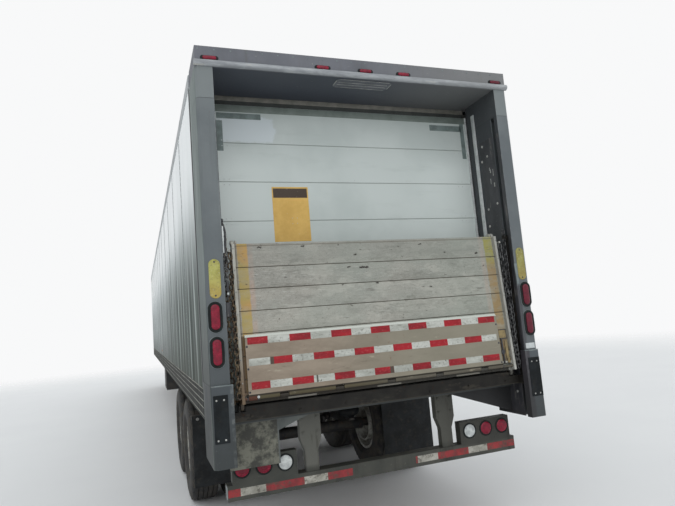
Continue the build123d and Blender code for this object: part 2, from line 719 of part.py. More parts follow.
guard_side = [(guard_top_half, sill_low_z), (guard_top_half, guard_wide_z), (guard_low_half, guard_narrow_z),
              (guard_low_half, guard_bar_z0 + 10)]
guard_outline = [(guard_x + dx, z) for dx, z in guard_side]
guard_outline += [(guard_x - dx, z) for dx, z in guard_side[::-1]]
box_y = guard_y - guard_bar_out
guard = block(-guard_bar_half, guard_bar_half, box_y, box_y + guard_bar_depth, guard_bar_z0, guard_bar_z1)
for shape in both_sides(rear_prism(guard_outline, guard_y, guard_y + 60)):
    guard += shape
export("underride_guard", guard)

light_box = block(box_x0, box_x1, box_y, guard_y + 60, guard_bar_z1, box_z1)
light_box -= block(box_x0 + box_sheet, box_x1 - box_sheet, box_y + box_sheet, guard_y + 61,
                   guard_bar_z1 + box_sheet, box_z1 - box_sheet)
export("light_boxes", *both_sides(light_box))

bumper = block(bumper_x0, bumper_x1, -sleeve_back - bumper_depth, -sleeve_back, bumper_z0, bumper_z1)
export("dock_bumpers", *both_sides(bumper))


def oval(x, z, size, y0, y1, upright):
    slot = SlotOverall(*size)
    if upright:
        slot = Rot(0, 0, 90) * slot
    return Pos(x, y1, z) * Rot(90, 0, 0) * extrude(slot, y1 - y0)


grommets = []
lenses = []
for z in (lamp_low_z, lamp_high_z):
    for x in (-lamp_x, lamp_x):
        grommets.append(oval(x, z, grommet_size, -lamp_step, 0, True))
        lenses.append(oval(x, z, lens_size, -2 * lamp_step, -lamp_step, True))
for x in marker_xs:
    lenses.append(oval(x, marker_z, marker_size, -marker_out, 0, False))
for side in (-1, 1):
    for x in box_lamp_xs:
        lenses.append(rod_y(side * x, box_y - box_lamp_out, box_y, box_lamp_z, box_lamp_radius))
export("lamp_grommets", *grommets)
export("lamp_lenses", *lenses)

export("pump_box", block(pump_box_x0, pump_box_x1, pump_box_y0, pump_box_y1, pump_box_z0, member_bottom_z))

nose_y = trailer_length
coupling_z = connection_z0 + 60
nose_box = block(-connection_half, connection_half, nose_y, nose_y + 55, connection_z0, connection_z1)
for x in (-coupling_x, coupling_x):
    nose_box += rod_y(x, nose_y + 50, nose_y + connection_depth, coupling_z, coupling_radius)
export("connection_box", nose_box)
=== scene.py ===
import math
import random

import bpy
from mathutils import Euler, Matrix, Vector


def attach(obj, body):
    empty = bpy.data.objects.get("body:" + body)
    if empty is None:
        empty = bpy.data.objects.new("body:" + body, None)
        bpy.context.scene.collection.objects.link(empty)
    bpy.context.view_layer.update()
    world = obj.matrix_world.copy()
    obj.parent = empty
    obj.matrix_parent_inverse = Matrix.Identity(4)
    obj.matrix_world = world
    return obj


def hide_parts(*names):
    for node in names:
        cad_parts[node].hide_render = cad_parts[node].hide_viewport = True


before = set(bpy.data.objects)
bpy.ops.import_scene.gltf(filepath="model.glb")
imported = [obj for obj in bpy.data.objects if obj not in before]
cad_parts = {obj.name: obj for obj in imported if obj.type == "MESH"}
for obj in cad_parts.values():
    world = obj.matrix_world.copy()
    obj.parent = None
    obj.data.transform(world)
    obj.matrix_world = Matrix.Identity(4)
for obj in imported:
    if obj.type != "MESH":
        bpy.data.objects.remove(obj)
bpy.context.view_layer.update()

random.seed(11)

# Places that many pieces share, in metres
rearY = -8.107                            # rear face of the posts
foldPoint = (0.0, -7.997, 1.185)          # the platforms lean about this line
leanTurn = math.radians(-3.8)
boardPlan = {"top": 2.276, "pitch": 0.1524}              # joints between the platforms' boards
sectionPlan = {"top": 3.45, "pitch": 0.311}              # joints between the door's sections
panelPlan = {"start": rearY + 0.43, "pitch": 1.219}      # joints between the walls' panels

# Turns for pieces that are modelled standing along +Z
level = (0, 0, 0)
toRear = (math.pi / 2, 0, 0)
toFront = (-math.pi / 2, 0, 0)
across = (0, math.pi / 2, 0)


# Modelling helpers

def clearPick():
    bpy.ops.object.select_all(action="DESELECT")


def pick(*things):
    clearPick()
    for thing in things:
        thing.select_set(True)
    bpy.context.view_layer.objects.active = things[0]


def settle(piece):
    # puts the place, turn and scale of a piece into its mesh
    pick(piece)
    bpy.ops.object.transform_apply(location=True, rotation=True, scale=True)
    return piece


def weld(pieces):
    pick(*pieces)
    if len(pieces) > 1:
        bpy.ops.object.join()
    return settle(bpy.context.object)


def twinOf(master, place=(0, 0, 0), turn=(0, 0, 0)):
    twin = master.copy()
    twin.data = master.data.copy()
    bpy.context.collection.objects.link(twin)
    twin.location = place
    twin.rotation_euler = turn
    return twin


def toSide(side):
    return (0, side * math.pi / 2, 0)


def bothWays(*xs):
    return [side * x for side in (-1, 1) for x in xs]


def spread(xs, y, zs, turn=level):
    # a spot at each x and each z
    return [((x, y, z), turn) for x in xs for z in zs]


def scatter(master, spots):
    # copies of a piece that was modelled round the origin, one for each place and turn
    pieces = [twinOf(master, place, turn) for place, turn in spots]
    bpy.data.objects.remove(master)
    return weld(pieces)


def useModifier(piece, kind, **settings):
    pick(piece)
    modifier = piece.modifiers.new(kind.title(), kind)
    for key, value in settings.items():
        setattr(modifier, key, value)
    bpy.ops.object.modifier_apply(modifier=modifier.name)
    return piece


def soften(piece, width, segments=2):
    return useModifier(piece, "BEVEL", width=width, segments=segments, limit_method="ANGLE",
                       angle_limit=math.radians(40))


def bothSides(piece):
    return useModifier(piece, "MIRROR", use_axis=(True, False, False), use_mirror_merge=False)


def addBox(low, high, edge=0.0, segments=2):
    clearPick()
    middle = [(a + b) / 2 for a, b in zip(low, high)]
    bpy.ops.mesh.primitive_cube_add(size=1, location=middle)
    piece = bpy.context.object
    piece.scale = [b - a for a, b in zip(low, high)]
    settle(piece)
    if edge:
        soften(piece, edge, segments)
    return piece


def pointAlong(piece, along):
    piece.rotation_euler = Vector(along).to_track_quat("Z", "Y").to_euler()
    return piece


def addRod(start, end, radius, sides=16, edge=0.0):
    clearPick()
    start, end = Vector(start), Vector(end)
    bpy.ops.mesh.primitive_cylinder_add(vertices=sides, radius=radius, depth=(end - start).length,
                                        location=(start + end) / 2)
    piece = settle(pointAlong(bpy.context.object, end - start))
    if edge:
        soften(piece, edge, 1)
    return piece


def openEdit(piece, mode="FACE"):
    pick(piece)
    bpy.ops.object.mode_set(mode="EDIT")
    bpy.ops.mesh.select_mode(type=mode)
    bpy.ops.mesh.select_all(action="DESELECT")


def closeEdit():
    bpy.ops.object.mode_set(mode="OBJECT")


def pickFaces(piece, test):
    openEdit(piece)
    closeEdit()
    for face in piece.data.polygons:
        face.select = test(face)
    bpy.ops.object.mode_set(mode="EDIT")


def pickPoints(piece, test):
    openEdit(piece, "VERT")
    closeEdit()
    for point in piece.data.vertices:
        point.select = test(point.co)
    bpy.ops.object.mode_set(mode="EDIT")


def sinkPanel(piece, test, border, depth):
    # insets the picked faces and pushes them in, or out for a depth below nought
    pickFaces(piece, test)
    bpy.ops.mesh.inset(thickness=border, depth=-depth)
    closeEdit()
    return piece


def turnOn(profile, base, along, sides=32, ring=False):
    # a turned shape, drawn out ring by ring: profile gives how far along, and the radius there
    clearPick()
    bpy.ops.mesh.primitive_circle_add(vertices=sides, radius=profile[0][1], fill_type="NGON",
                                      location=(0, 0, profile[0][0]))
    piece = settle(bpy.context.object)
    bpy.ops.object.mode_set(mode="EDIT")
    bpy.ops.mesh.select_mode(type="FACE")
    bpy.ops.mesh.select_all(action="SELECT")
    for (lastAlong, lastRadius), (nextAlong, nextRadius) in zip(profile, profile[1:]):
        bpy.ops.mesh.extrude_region_move(TRANSFORM_OT_translate={"value": (0, 0, nextAlong - lastAlong)})
        size = nextRadius / lastRadius
        bpy.ops.transform.resize(value=(size, size, 1), center_override=(0, 0, nextAlong))
    closeEdit()
    if ring:
        pickFaces(piece, lambda face: len(face.vertices) == sides)
        bpy.ops.mesh.delete(type="ONLY_FACE")
        bpy.ops.mesh.select_mode(type="EDGE")
        bpy.ops.mesh.select_all(action="DESELECT")
        bpy.ops.mesh.select_non_manifold()
        bpy.ops.mesh.bridge_edge_loops()
        closeEdit()
    openEdit(piece)
    bpy.ops.mesh.select_all(action="SELECT")
    bpy.ops.mesh.normals_make_consistent(inside=False)
    closeEdit()
    pointAlong(piece, along)
    piece.location = base
    return settle(piece)


def makeOval(length, width, thick, sides=32):
    # an upright oval slab round the origin, its front face towards -Y
    piece = addRod((0, thick / 2, 0), (0, -thick / 2, 0), width / 2, sides)
    for way in (1, -1):
        pickPoints(piece, lambda co: co.z * way > 1e-5)
        bpy.ops.transform.translate(value=(0, 0, way * (length - width) / 2))
        closeEdit()
    return piece


def isRearOval(face):
    return face.normal.y < -0.9 and len(face.vertices) > 8


def raiseRings(piece, rings):
    # steps the rear face of an oval inwards: each ring has a border and how far it rises
    for border, rise in rings:
        sinkPanel(piece, isRearOval, border, -rise)
    return piece


def makeBolt(radius, height, washer=True):
    # a hexagon head on a washer, standing on the origin along +Z
    parts = [addRod((0, 0, 0.002 if washer else 0), (0, 0, height), radius, 6, radius * 0.12)]
    if washer:
        parts.append(addRod((0, 0, 0), (0, 0, 0.003), radius * 1.45, 14))
    return weld(parts)


def makeRivet(radius, height, sides=8):
    # a low round head, standing on the origin along +Z
    clearPick()
    bpy.ops.mesh.primitive_uv_sphere_add(segments=sides, ring_count=6, radius=radius)
    piece = bpy.context.object
    openEdit(piece)
    bpy.ops.mesh.select_all(action="SELECT")
    bpy.ops.mesh.bisect(plane_co=(0, 0, 0.0), plane_no=(0, 0, 1), use_fill=True, clear_inner=True)
    closeEdit()
    piece.scale = (1, 1, height / radius)
    return settle(piece)


def makeLink(width, length, wire, ringSteps=10, wireSteps=5):
    # one chain link round the origin, upright, its flat side towards Y
    clearPick()
    bpy.ops.mesh.primitive_torus_add(major_segments=ringSteps, minor_segments=wireSteps,
                                     major_radius=(width - wire) / 2, minor_radius=wire / 2,
                                     rotation=(math.pi / 2, 0, 0))
    piece = settle(bpy.context.object)
    for way in (1, -1):
        pickPoints(piece, lambda co: co.z * way > 1e-5)
        bpy.ops.transform.translate(value=(0, 0, way * (length - width) / 2))
        closeEdit()
    return piece


def leanOver(piece):
    # tips an upright piece back onto the leaning platforms
    turn = Matrix.Rotation(leanTurn, 4, "X")
    fold = Vector(foldPoint)
    piece.matrix_world = Matrix.Translation(fold) @ turn @ Matrix.Translation(-fold)
    return settle(piece)


def handOver(piece, name, finish, body="trailer", replaced=(), smooth=35):
    # the last step of every piece: its name, finish, shading and the body it rides on
    piece.name = name
    piece.data.name = name
    piece.data.materials.clear()
    piece.data.materials.append(finish)
    pick(piece)
    bpy.ops.object.shade_smooth_by_angle(angle=math.radians(smooth))
    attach(piece, body)
    if replaced:
        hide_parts(*replaced)


# Finish helpers: a wire is one socket that can be added, multiplied and compared

class Wire:
    def __init__(self, finish, socket):
        self.finish = finish
        self.socket = socket

    def sum(self, operation, *values):
        return self.finish.node("Math", {"operation": operation}, dict(enumerate(values)))

    def __add__(self, other):
        return self.sum("ADD", self, other)

    __radd__ = __add__

    def __sub__(self, other):
        return self.sum("SUBTRACT", self, other)

    def __rsub__(self, other):
        return self.sum("SUBTRACT", other, self)

    def __mul__(self, other):
        return self.sum("MULTIPLY", self, other)

    __rmul__ = __mul__

    def __truediv__(self, other):
        return self.sum("DIVIDE", self, other)

    def __mod__(self, other):
        return self.sum("FLOORED_MODULO", self, other)

    def __abs__(self):
        return self.sum("ABSOLUTE", self)

    def __gt__(self, other):
        return self.sum("GREATER_THAN", self, other)


def tone(colour):
    # red, green and blue as 0 to 255 on screen, turned into what the shader wants
    shares = [part / 255 for part in colour]
    return (*[share / 12.92 if share <= 0.04045 else ((share + 0.055) / 1.055) ** 2.4 for share in shares],
            1.0)


class Finish:
    # one material: its colour is laid tone over tone, each by a share of 0 to 1
    def __init__(self, name, rough=0.6, metal=0.0, coatWeight=0.0, sheen=0.5, leaning=False):
        self.material = bpy.data.materials.new(name)
        self.material.use_nodes = True
        self.tree = self.material.node_tree
        self.shader = self.tree.nodes["Principled BSDF"]
        self.give("Roughness", rough)
        self.give("Metallic", metal)
        self.give("Coat Weight", coatWeight)
        self.give("Specular IOR Level", sheen)
        self.place = self.node("TexCoord", output="Object")
        if leaning:
            # the place on a leaning platform as if it stood upright
            back = Matrix.Rotation(-leanTurn, 4, "X")
            fold = Vector(foldPoint)
            self.place = self.node("Mapping", {"vector_type": "POINT"}, {
                "Vector": self.place, "Location": fold - back @ fold, "Rotation": (-leanTurn, 0, 0)})

    def node(self, kind, settings=None, values=None, output=0):
        made = self.tree.nodes.new("ShaderNode" + kind)
        for key, value in (settings or {}).items():
            setattr(made, key, value)
        for key, value in (values or {}).items():
            self.feed(made.inputs[key], value)
        return Wire(self, made.outputs[output])

    def feed(self, socket, value):
        if isinstance(value, Wire):
            self.tree.links.new(value.socket, socket)
        else:
            socket.default_value = value

    def give(self, name, value):
        self.feed(self.shader.inputs[name], value)

    def axes(self, letters):
        made = self.tree.nodes.new("ShaderNodeSeparateXYZ")
        self.feed(made.inputs[0], self.place)
        return [Wire(self, made.outputs[letter]) for letter in letters]

    def noise(self, scale, detail=4.0, rough=0.6, squeeze=None):
        place = self.place
        if squeeze:
            place = self.node("VectorMath", {"operation": "MULTIPLY"}, {0: place, 1: squeeze})
        return self.node("TexNoise", None, {"Vector": place, "Scale": scale, "Detail": detail,
                                            "Roughness": rough})

    def cells(self, scale):
        return self.node("TexVoronoi", None, {"Vector": self.place, "Scale": scale})

    def step(self, value, low, high):
        # 0 below low, 1 above high, smooth between
        return self.node("MapRange", {"interpolation_type": "SMOOTHSTEP"},
                         {"Value": value, "From Min": low, "From Max": high})

    def fade(self, value, low, high):
        # 1 below low, 0 above high
        return 1 - self.step(value, low, high)

    def band(self, value, low, high, soft):
        return self.step(value, low - soft, low + soft) * self.fade(value, high - soft, high + soft)

    def spots(self, low, high, *noise):
        # where a noise rises from low to high
        return self.step(self.noise(*noise), low, high)

    def mix(self, share, under, over):
        under, over = [colour if isinstance(colour, Wire) else tone(colour) for colour in (under, over)]
        return self.node("Mix", {"data_type": "RGBA"}, {0: share, 6: under, 7: over}, output=2)

    def start(self, share, under, over):
        self.colour = self.mix(share, under, over)

    def lay(self, share, over):
        self.colour = self.mix(share, self.colour, over)

    def press(self, height, depth):
        self.give("Normal", self.node("Bump", None, {"Height": height, "Distance": depth, "Strength": 1.0}))

    def done(self, rough):
        self.give("Base Color", self.colour)
        self.give("Roughness", rough)
        return self.material


def paintedSteel(name, plan, extra=None):
    # old paint on steel: clouded colour, runs of dirt, chips and a little rust
    finish = Finish(name, coatWeight=plan.get("coat", 0.0), sheen=plan.get("sheen", 0.5))
    cloud = finish.noise(2.3, 5, 0.6)
    streaking = finish.noise(9, 4, 0.65, (1, 1, 0.09))
    finish.start(finish.step(cloud, 0.35, 0.68), plan["dark"], plan["light"])
    finish.lay(finish.step(streaking, 0.52, 0.74) * plan.get("streaking", 0.5), plan["dirt"])
    if extra:
        extra(finish)
    chips = finish.spots(0.645, 0.675, 38, 6, 0.7) * finish.step(cloud, 0.42, 0.6)
    finish.lay(chips * plan.get("chips", 0.6), plan["chip"])
    rust = finish.spots(0.66, 0.72, 17, 6, 0.72) * plan.get("rust", 0.5)
    finish.lay(rust, (92, 62, 42))
    fine = finish.noise(150, 3, 0.6)
    finish.press(cloud * 0.3 + fine * 0.15 - chips * 0.25 + rust * 0.3, plan.get("bump", 0.0025))
    return finish.done(0.42 + cloud * 0.3 + rust * 0.2)


# Camera, floor and light

cameraPlan = {"place": (-1.7031, -11.7657, 1.7071), "turn": 20.272, "tilt": 7.023, "roll": -4.692,
              "lens": 29.139}

bpy.ops.object.camera_add(location=cameraPlan["place"])
camera = bpy.context.object
camera.name = "rearCamera"
facing = Euler((math.radians(90 + cameraPlan["tilt"]), 0, math.radians(-cameraPlan["turn"]))).to_matrix()
camera.rotation_euler = (facing @ Matrix.Rotation(math.radians(cameraPlan["roll"]), 3, "Z")).to_euler()
camera.data.sensor_width = 36
camera.data.lens = cameraPlan["lens"]
camera.data.clip_end = 400
bpy.context.scene.camera = camera
bpy.context.scene.view_settings.view_transform = "Standard"

lightPlan = {"sky": 0.82, "sun": 0.72, "spread": 75, "from": (-0.2, -0.85, 0.75)}

world = bpy.data.worlds.new("studioSky")
bpy.context.scene.world = world
world.use_nodes = True
sky = world.node_tree
skyLight = sky.nodes["Background"]
skyLight.inputs["Color"].default_value = (0.962, 0.985, 1.0, 1)
skyLight.inputs["Strength"].default_value = lightPlan["sky"]
skyShown = sky.nodes.new("ShaderNodeBackground")
skyShown.inputs["Color"].default_value = (0.94, 0.945, 0.95, 1)
skyPath = sky.nodes.new("ShaderNodeLightPath")
skyMix = sky.nodes.new("ShaderNodeMixShader")
skySum = sky.nodes.new("ShaderNodeMath")
skySum.operation = "MAXIMUM"
sky.links.new(skyPath.outputs["Is Camera Ray"], skySum.inputs[0])
sky.links.new(skyPath.outputs["Is Transmission Ray"], skySum.inputs[1])
sky.links.new(skySum.outputs[0], skyMix.inputs[0])
sky.links.new(skyLight.outputs[0], skyMix.inputs[1])
sky.links.new(skyShown.outputs[0], skyMix.inputs[2])
sky.links.new(skyMix.outputs[0], sky.nodes["World Output"].inputs[0])

clearPick()
bpy.ops.object.light_add(type="SUN", location=(0, -20, 20))
sun = bpy.context.object
sun.name = "softSun"
sun.data.energy = lightPlan["sun"]
sun.data.angle = math.radians(lightPlan["spread"])
sun.data.color = (0.98, 0.99, 1.0)
sun.rotation_euler = Vector(lightPlan["from"]).to_track_quat("Z", "Y").to_euler()

floorPlan = {"size": 240, "fade": (11.0, 24.0), "dark": (226, 227, 228), "light": (233, 234, 234)}

clearPick()
bpy.ops.mesh.primitive_plane_add(size=floorPlan["size"])
floor = bpy.context.object
floor.name = "studioFloor"
floorFinish = Finish("studioFloorFinish")
floorFar = floorFinish.node("VectorMath", {"operation": "LENGTH"}, {0: floorFinish.place}, 1)
floorFinish.give("Alpha", floorFinish.fade(floorFar, *floorPlan["fade"]))
floorFinish.start(floorFinish.noise(0.6, 3), floorPlan["dark"], floorPlan["light"])
floor.data.materials.append(floorFinish.done(0.85))
print("camera, floor and lights are up")


# Finishes

def postExtra(finish):
    x, y, z = finish.axes("XYZ")
    side = abs(x)
    nick = finish.noise(22, 5, 0.7)
    cap = finish.step(z, 3.298, 3.302)
    finish.lay(cap * 0.5, (132, 138, 138))
    seam = finish.band(z, 3.3, 3.303, 0.001)
    finish.lay(seam * 0.8, (60, 62, 64))
    sleeve = finish.fade(z, 1.35, 1.353)
    finish.lay(sleeve * 0.8, (74, 80, 85))
    # A painted highlight along the top edge of the sleeve, broken up by wear.
    brimHighlightAndWear = finish.band(z, 1.3455, 1.3535, 0.0015)
    finish.lay(brimHighlightAndWear * (0.4 + finish.step(nick, 0.4, 0.6) * 0.5), (142, 148, 148))
    flank = finish.step(side, 1.288, 1.291)
    streak = finish.noise(14, 5, 0.7, (1, 1, 0.06))
    finish.lay(flank * (1 - sleeve) * 0.75, (104, 115, 112))
    # The sleeve's flank is laid dark: painted shade on that side face.
    finish.lay(flank * sleeve * 0.85, (44, 48, 50))
    # Light streaks on the flank: painted glints of reflection.
    finish.lay(flank * finish.step(streak, 0.5, 0.66) * 0.55, (150, 160, 156))
    finish.lay(flank * finish.step(streak, 0.36, 0.3) * 0.5, (74, 84, 80))
    finish.lay(flank * finish.step(y, rearY + 0.395, rearY + 0.402), (48, 54, 52))
    corner = finish.fade(side, 1.168, 1.174) * finish.fade(y, rearY + 0.003, rearY + 0.01)
    finish.lay(corner * finish.step(nick, 0.46, 0.6) * 0.45, (150, 154, 152))
    # Painted shade on the inner faces of the post and of its sleeve.
    inner = finish.fade(side, 1.1665, 1.1675) * (1 - sleeve) + finish.fade(side, 1.1505, 1.1515) * sleeve
    finish.lay(inner * 0.8, (52, 54, 58))
    # A darker strip on the inner part of the right post's front, below about 1.87 m.
    lowerDarkStrip = finish.step(x, 1.0, 1.1) * finish.fade(x + nick * 0.02, 1.195, 1.212)
    lowerDarkStrip = lowerDarkStrip * finish.fade(z, 1.86, 1.885)
    finish.lay(lowerDarkStrip * 0.8, (62, 58, 63))
    # Painted shade: the post laid darker lower down, above the sleeve, and more on its flank.
    lowPaintedShade = finish.fade(z, 1.4, 2.3) * (1 - sleeve)
    finish.lay(lowPaintedShade * (0.5 + flank * 0.3), finish.mix(flank, (84, 89, 92), (56, 62, 59)))
    leftFoot = finish.fade(x, -0.5, 0.5) * finish.fade(z, 1.4, 1.75)
    finish.lay(leftFoot * 0.32, (48, 52, 53))
    # Darker towards the foot of the post.
    lowPatch = finish.fade(z + nick * 0.35, 1.05, 1.5) * 0.6
    finish.lay(lowPatch, (50, 53, 51))


postFinish = paintedSteel("postPaint", {
    "light": (112, 118, 120), "dark": (98, 104, 107), "dirt": (84, 90, 90), "chip": (148, 152, 152),
    "streaking": 0.55, "chips": 0.3, "rust": 0.2, "sheen": 0.3}, postExtra)


def headerExtra(finish):
    x, y, z = finish.axes("XYZ")
    # Painted shade on the underside of the header.
    under = finish.fade(z, 3.536, 3.54) * finish.step(y, rearY + 0.006, rearY + 0.014)
    finish.lay(under, (68, 73, 82))
    right = finish.step(x, -0.2, 1.0)
    finish.lay(right * 0.5, (128, 128, 124))
    worn = finish.noise(7, 6, 0.7, (0.5, 1, 3))
    # The lip is laid lighter: a painted highlight all along it, with wear on top.
    lip = finish.fade(y, rearY - 0.004, rearY - 0.001) * finish.fade(z, 3.578, 3.582)
    finish.lay(lip * (0.5 + finish.step(worn, 0.42, 0.6) * 0.5), (164, 168, 171))
    rub = lip * finish.step(worn, 0.57, 0.66)
    finish.lay(rub * 0.8, (184, 183, 176))


headerFinish = paintedSteel("headerPaint", {
    "light": (108, 110, 117), "dark": (92, 95, 102), "dirt": (84, 82, 76), "chip": (150, 150, 146),
    "streaking": 0.6, "chips": 0.7, "rust": 0.3}, headerExtra)


def makeDoorFinish():
    finish = Finish("doorPanelWhite", coatWeight=0.2)
    x, z = finish.axes("XZ")
    cloud = finish.noise(1.6, 4, 0.55)
    smear = finish.noise(5, 5, 0.65, (0.35, 1, 2.2))
    finish.start(finish.step(cloud, 0.35, 0.65), (184, 193, 190), (196, 204, 201))
    # Painted light: the door laid lighter towards both sides, below about 3 m, against the shade of the
    # posts.
    sides = finish.step(abs(x), 0.35, 1.05) * finish.fade(z, 2.9, 3.2)
    finish.lay(sides * 0.85, (216, 224, 221))
    finish.lay(finish.step(smear, 0.55, 0.75) * 0.3, (172, 181, 177))
    ragged = (finish.noise(14, 5, 0.7) - 0.5) * 0.16
    patch = finish.band(x + ragged, -1.072, -0.65, 0.015) * finish.band(z + ragged * 0.4, 3.151, 3.354, 0.012)
    finish.lay(patch * 0.7, (208, 217, 222))
    pitch = sectionPlan["pitch"]
    down = (sectionPlan["top"] - z) % pitch
    joint = finish.band(down, pitch - 0.0045, pitch + 0.0005, 0.0008)
    joint = joint + finish.band(down, -0.01, 0.001, 0.0008)
    finish.lay(joint * (0.45 + smear * 0.4), (128, 136, 130))
    mark = finish.spots(0.7, 0.74, 26, 6, 0.75)
    finish.lay(mark * 0.4, (120, 118, 108))
    low = finish.fade(z + smear * 0.4, 1.35, 1.8)
    finish.lay(low * 0.4, (140, 138, 126))
    dent = finish.noise(3.2, 2, 0.5)
    finish.press(dent - joint * 0.5, 0.004)
    return finish.done(0.4 + smear * 0.2 + joint * 0.2)


def makeWallFinish():
    finish = Finish("sidePanelWhite", sheen=0.08)
    x, y, z = finish.axes("XYZ")
    cloud = finish.noise(0.9, 4, 0.6)
    streaking = finish.noise(3.4, 6, 0.72, (1, 1, 0.05))
    thin = finish.noise(7, 3, 0.55, (1, 1, 0.025))
    # The left side, most of all towards its rear end, is laid darker: painted dark reflection of its
    # surroundings, over a little road dirt on every side.
    left = finish.fade(x, -1.0, 1.0)
    near = finish.fade(y, -6.2, 1.0) * left
    darkening = 0.24 + left * 0.22 + near * 0.42
    finish.start(finish.step(cloud, 0.35, 0.65), (228, 234, 235), (238, 243, 244))
    # The lower wall is laid dark green: road dirt on every side, and painted dark reflection on the left side
    # towards the rear.
    lowDirtAndReflection = finish.fade(z + (streaking - 0.5) * 1.2, 1.9, 3.1)
    finish.lay(lowDirtAndReflection * darkening, (46, 60, 51))
    # Dark vertical streaks: a little dirt everywhere, and painted reflection where the lower wall is laid
    # dark.
    finish.lay(finish.step(streaking, 0.5, 0.6) * (0.06 + lowDirtAndReflection * darkening * 0.5), (40, 52, 44))
    # Painted glints: thin light streaks of reflection, strongest low on the left rear.
    glint = finish.step(thin, 0.565, 0.615)
    finish.lay(glint * (0.1 + lowDirtAndReflection * (0.2 + darkening * 0.4)), (190, 199, 196))
    # Thin dark streaks: a little dirt, and painted reflection low on the left rear.
    finish.lay(finish.step(thin, 0.45, 0.38) * (0.06 + lowDirtAndReflection * darkening * 0.6), (40, 46, 44))
    finish.give("Coat Weight", finish.step(z, 2.4, 3.2) * 0.8)
    along = (y - panelPlan["start"]) % panelPlan["pitch"]
    far = finish.node("Math", {"operation": "MINIMUM"}, {0: along, 1: panelPlan["pitch"] - along})
    seam = finish.band(far, 0.0285, 0.0325, 0.0012) * finish.step(abs(x), 1.2, 1.29)
    finish.lay(seam * 0.75, (70, 78, 77))
    # Darker towards the foot: road dirt on every side, with painted dark reflection added on the left side.
    foot = finish.fade(z + streaking * 0.9, 1.6, 2.35)
    finish.lay(foot * (0.28 + left * 0.3), (74, 76, 68))
    scuff = finish.spots(0.68, 0.73, 14, 6, 0.75, (1, 0.25, 1))
    finish.lay(scuff * 0.4, (110, 112, 110))
    buckle = finish.noise(1.3, 2, 0.5, (1, 1, 0.35))
    finish.press(buckle, 0.02)
    return finish.done(0.5 + streaking * 0.2 + foot * 0.1)


def makeAluminiumFinish():
    finish = Finish("railAluminium", metal=0.75, sheen=0.06)
    z = finish.axes("Z")[0]
    drawn = finish.noise(60, 3, 0.6, (1, 0.02, 1))
    cloud = finish.noise(1.8, 5, 0.65)
    dirt = finish.spots(0.5, 0.72, 6, 6, 0.7, (1, 1, 0.3))
    finish.start(drawn, (158, 162, 165), (182, 186, 188))
    finish.lay(finish.step(cloud, 0.4, 0.65) * 0.5, (140, 143, 142))
    finish.lay(dirt * 0.5, (96, 92, 84))
    low = finish.fade(z, 1.35, 1.5)
    finish.lay(low * 0.95, finish.mix(cloud, (32, 33, 31), (54, 54, 50)))
    wave = (cloud - 0.5) * 0.006
    lines = 0
    for height in (1.298, 1.262, 1.212, 1.163, 1.107):
        lines = finish.band(z + wave, height, height + 0.007, 0.0016) + lines
    rub = finish.spots(0.4, 0.6, 12, 6, 0.7, (1, 0.12, 1))
    finish.lay(low * lines * (0.35 + rub * 0.5), (176, 175, 165))
    finish.press(drawn * 0.4 + cloud * 0.6 + lines * 0.4, 0.003)
    finish.give("Metallic", 0.7 - dirt * 0.4 - low * 0.7)
    return finish.done(0.38 + dirt * 0.3 + low * 0.25)


def makeChassisFinish():
    finish = Finish("chassisBlack")
    cloud = finish.noise(3.1, 5, 0.65)
    dust = finish.spots(0.44, 0.66, 8, 6, 0.7)
    finish.start(cloud, (28, 29, 31), (44, 44, 45))
    finish.lay(dust * 0.5, (88, 82, 72))
    rust = finish.spots(0.61, 0.68, 15, 7, 0.75)
    finish.lay(rust * 0.75, (98, 60, 38))
    flake = finish.noise(90, 4, 0.65)
    finish.press(cloud * 0.4 + flake * 0.25 + rust * 0.4, 0.003)
    return finish.done(0.55 + dust * 0.25)


def layBoardTones(finish, seed):
    # weathered gritty boards, one shade for each board
    x, z = finish.axes("XZ")
    board = finish.node("Math", {"operation": "FLOOR"}, {0: (boardPlan["top"] - z) / boardPlan["pitch"]})
    shade = finish.node("TexWhiteNoise", {"noise_dimensions": "1D"}, {"W": board + seed})
    grain = finish.noise(16, 7, 0.72, (0.06, 1, 1))
    fine = finish.noise(120, 4, 0.6, (0.12, 1, 1))
    stain = finish.noise(3.4, 5, 0.65, (0.5, 1, 1.6))
    finish.start(shade * 0.5 + finish.step(stain, 0.35, 0.65) * 0.5, (146, 145, 138), (168, 165, 156))
    finish.lay(finish.step(grain, 0.5, 0.68) * 0.5, (118, 115, 107))
    grit = finish.noise(300, 3, 0.7, (0.35, 1, 1))
    finish.lay(finish.step(fine, 0.56, 0.66) * 0.45, (192, 193, 185))
    finish.lay(finish.step(grit, 0.54, 0.64) * 0.5, (92, 91, 84))
    worn = finish.spots(0.56, 0.64, 26, 6, 0.75, (0.25, 1, 1.2))
    finish.lay(worn * 0.35, (104, 104, 96))
    coarse = finish.noise(34, 6, 0.78, (0.6, 1, 1))
    finish.lay(finish.step(coarse, 0.54, 0.64) * 0.3, (104, 102, 94))
    finish.lay(finish.step(coarse, 0.46, 0.36) * 0.3, (186, 184, 175))
    mossy = finish.spots(0.42, 0.66, 1.7, 4, 0.6, (0.6, 1, 1))
    finish.lay(mossy * 0.35, (142, 152, 143))
    # Painted light: the boards greener on the right and warmer on the left, as the light falls.
    finish.lay(finish.step(x, -0.1, 0.8) * 0.3, (138, 150, 140))
    patch = finish.noise(7, 5, 0.7, (0.5, 1, 1.3))
    finish.lay(finish.step(patch, 0.54, 0.62) * 0.22, (196, 194, 184))
    finish.lay(finish.step(patch, 0.45, 0.37) * 0.25, (108, 108, 100))
    finish.lay(finish.step(z, 2.08, 2.2) * 0.3, (122, 124, 118))
    return grain, fine, stain


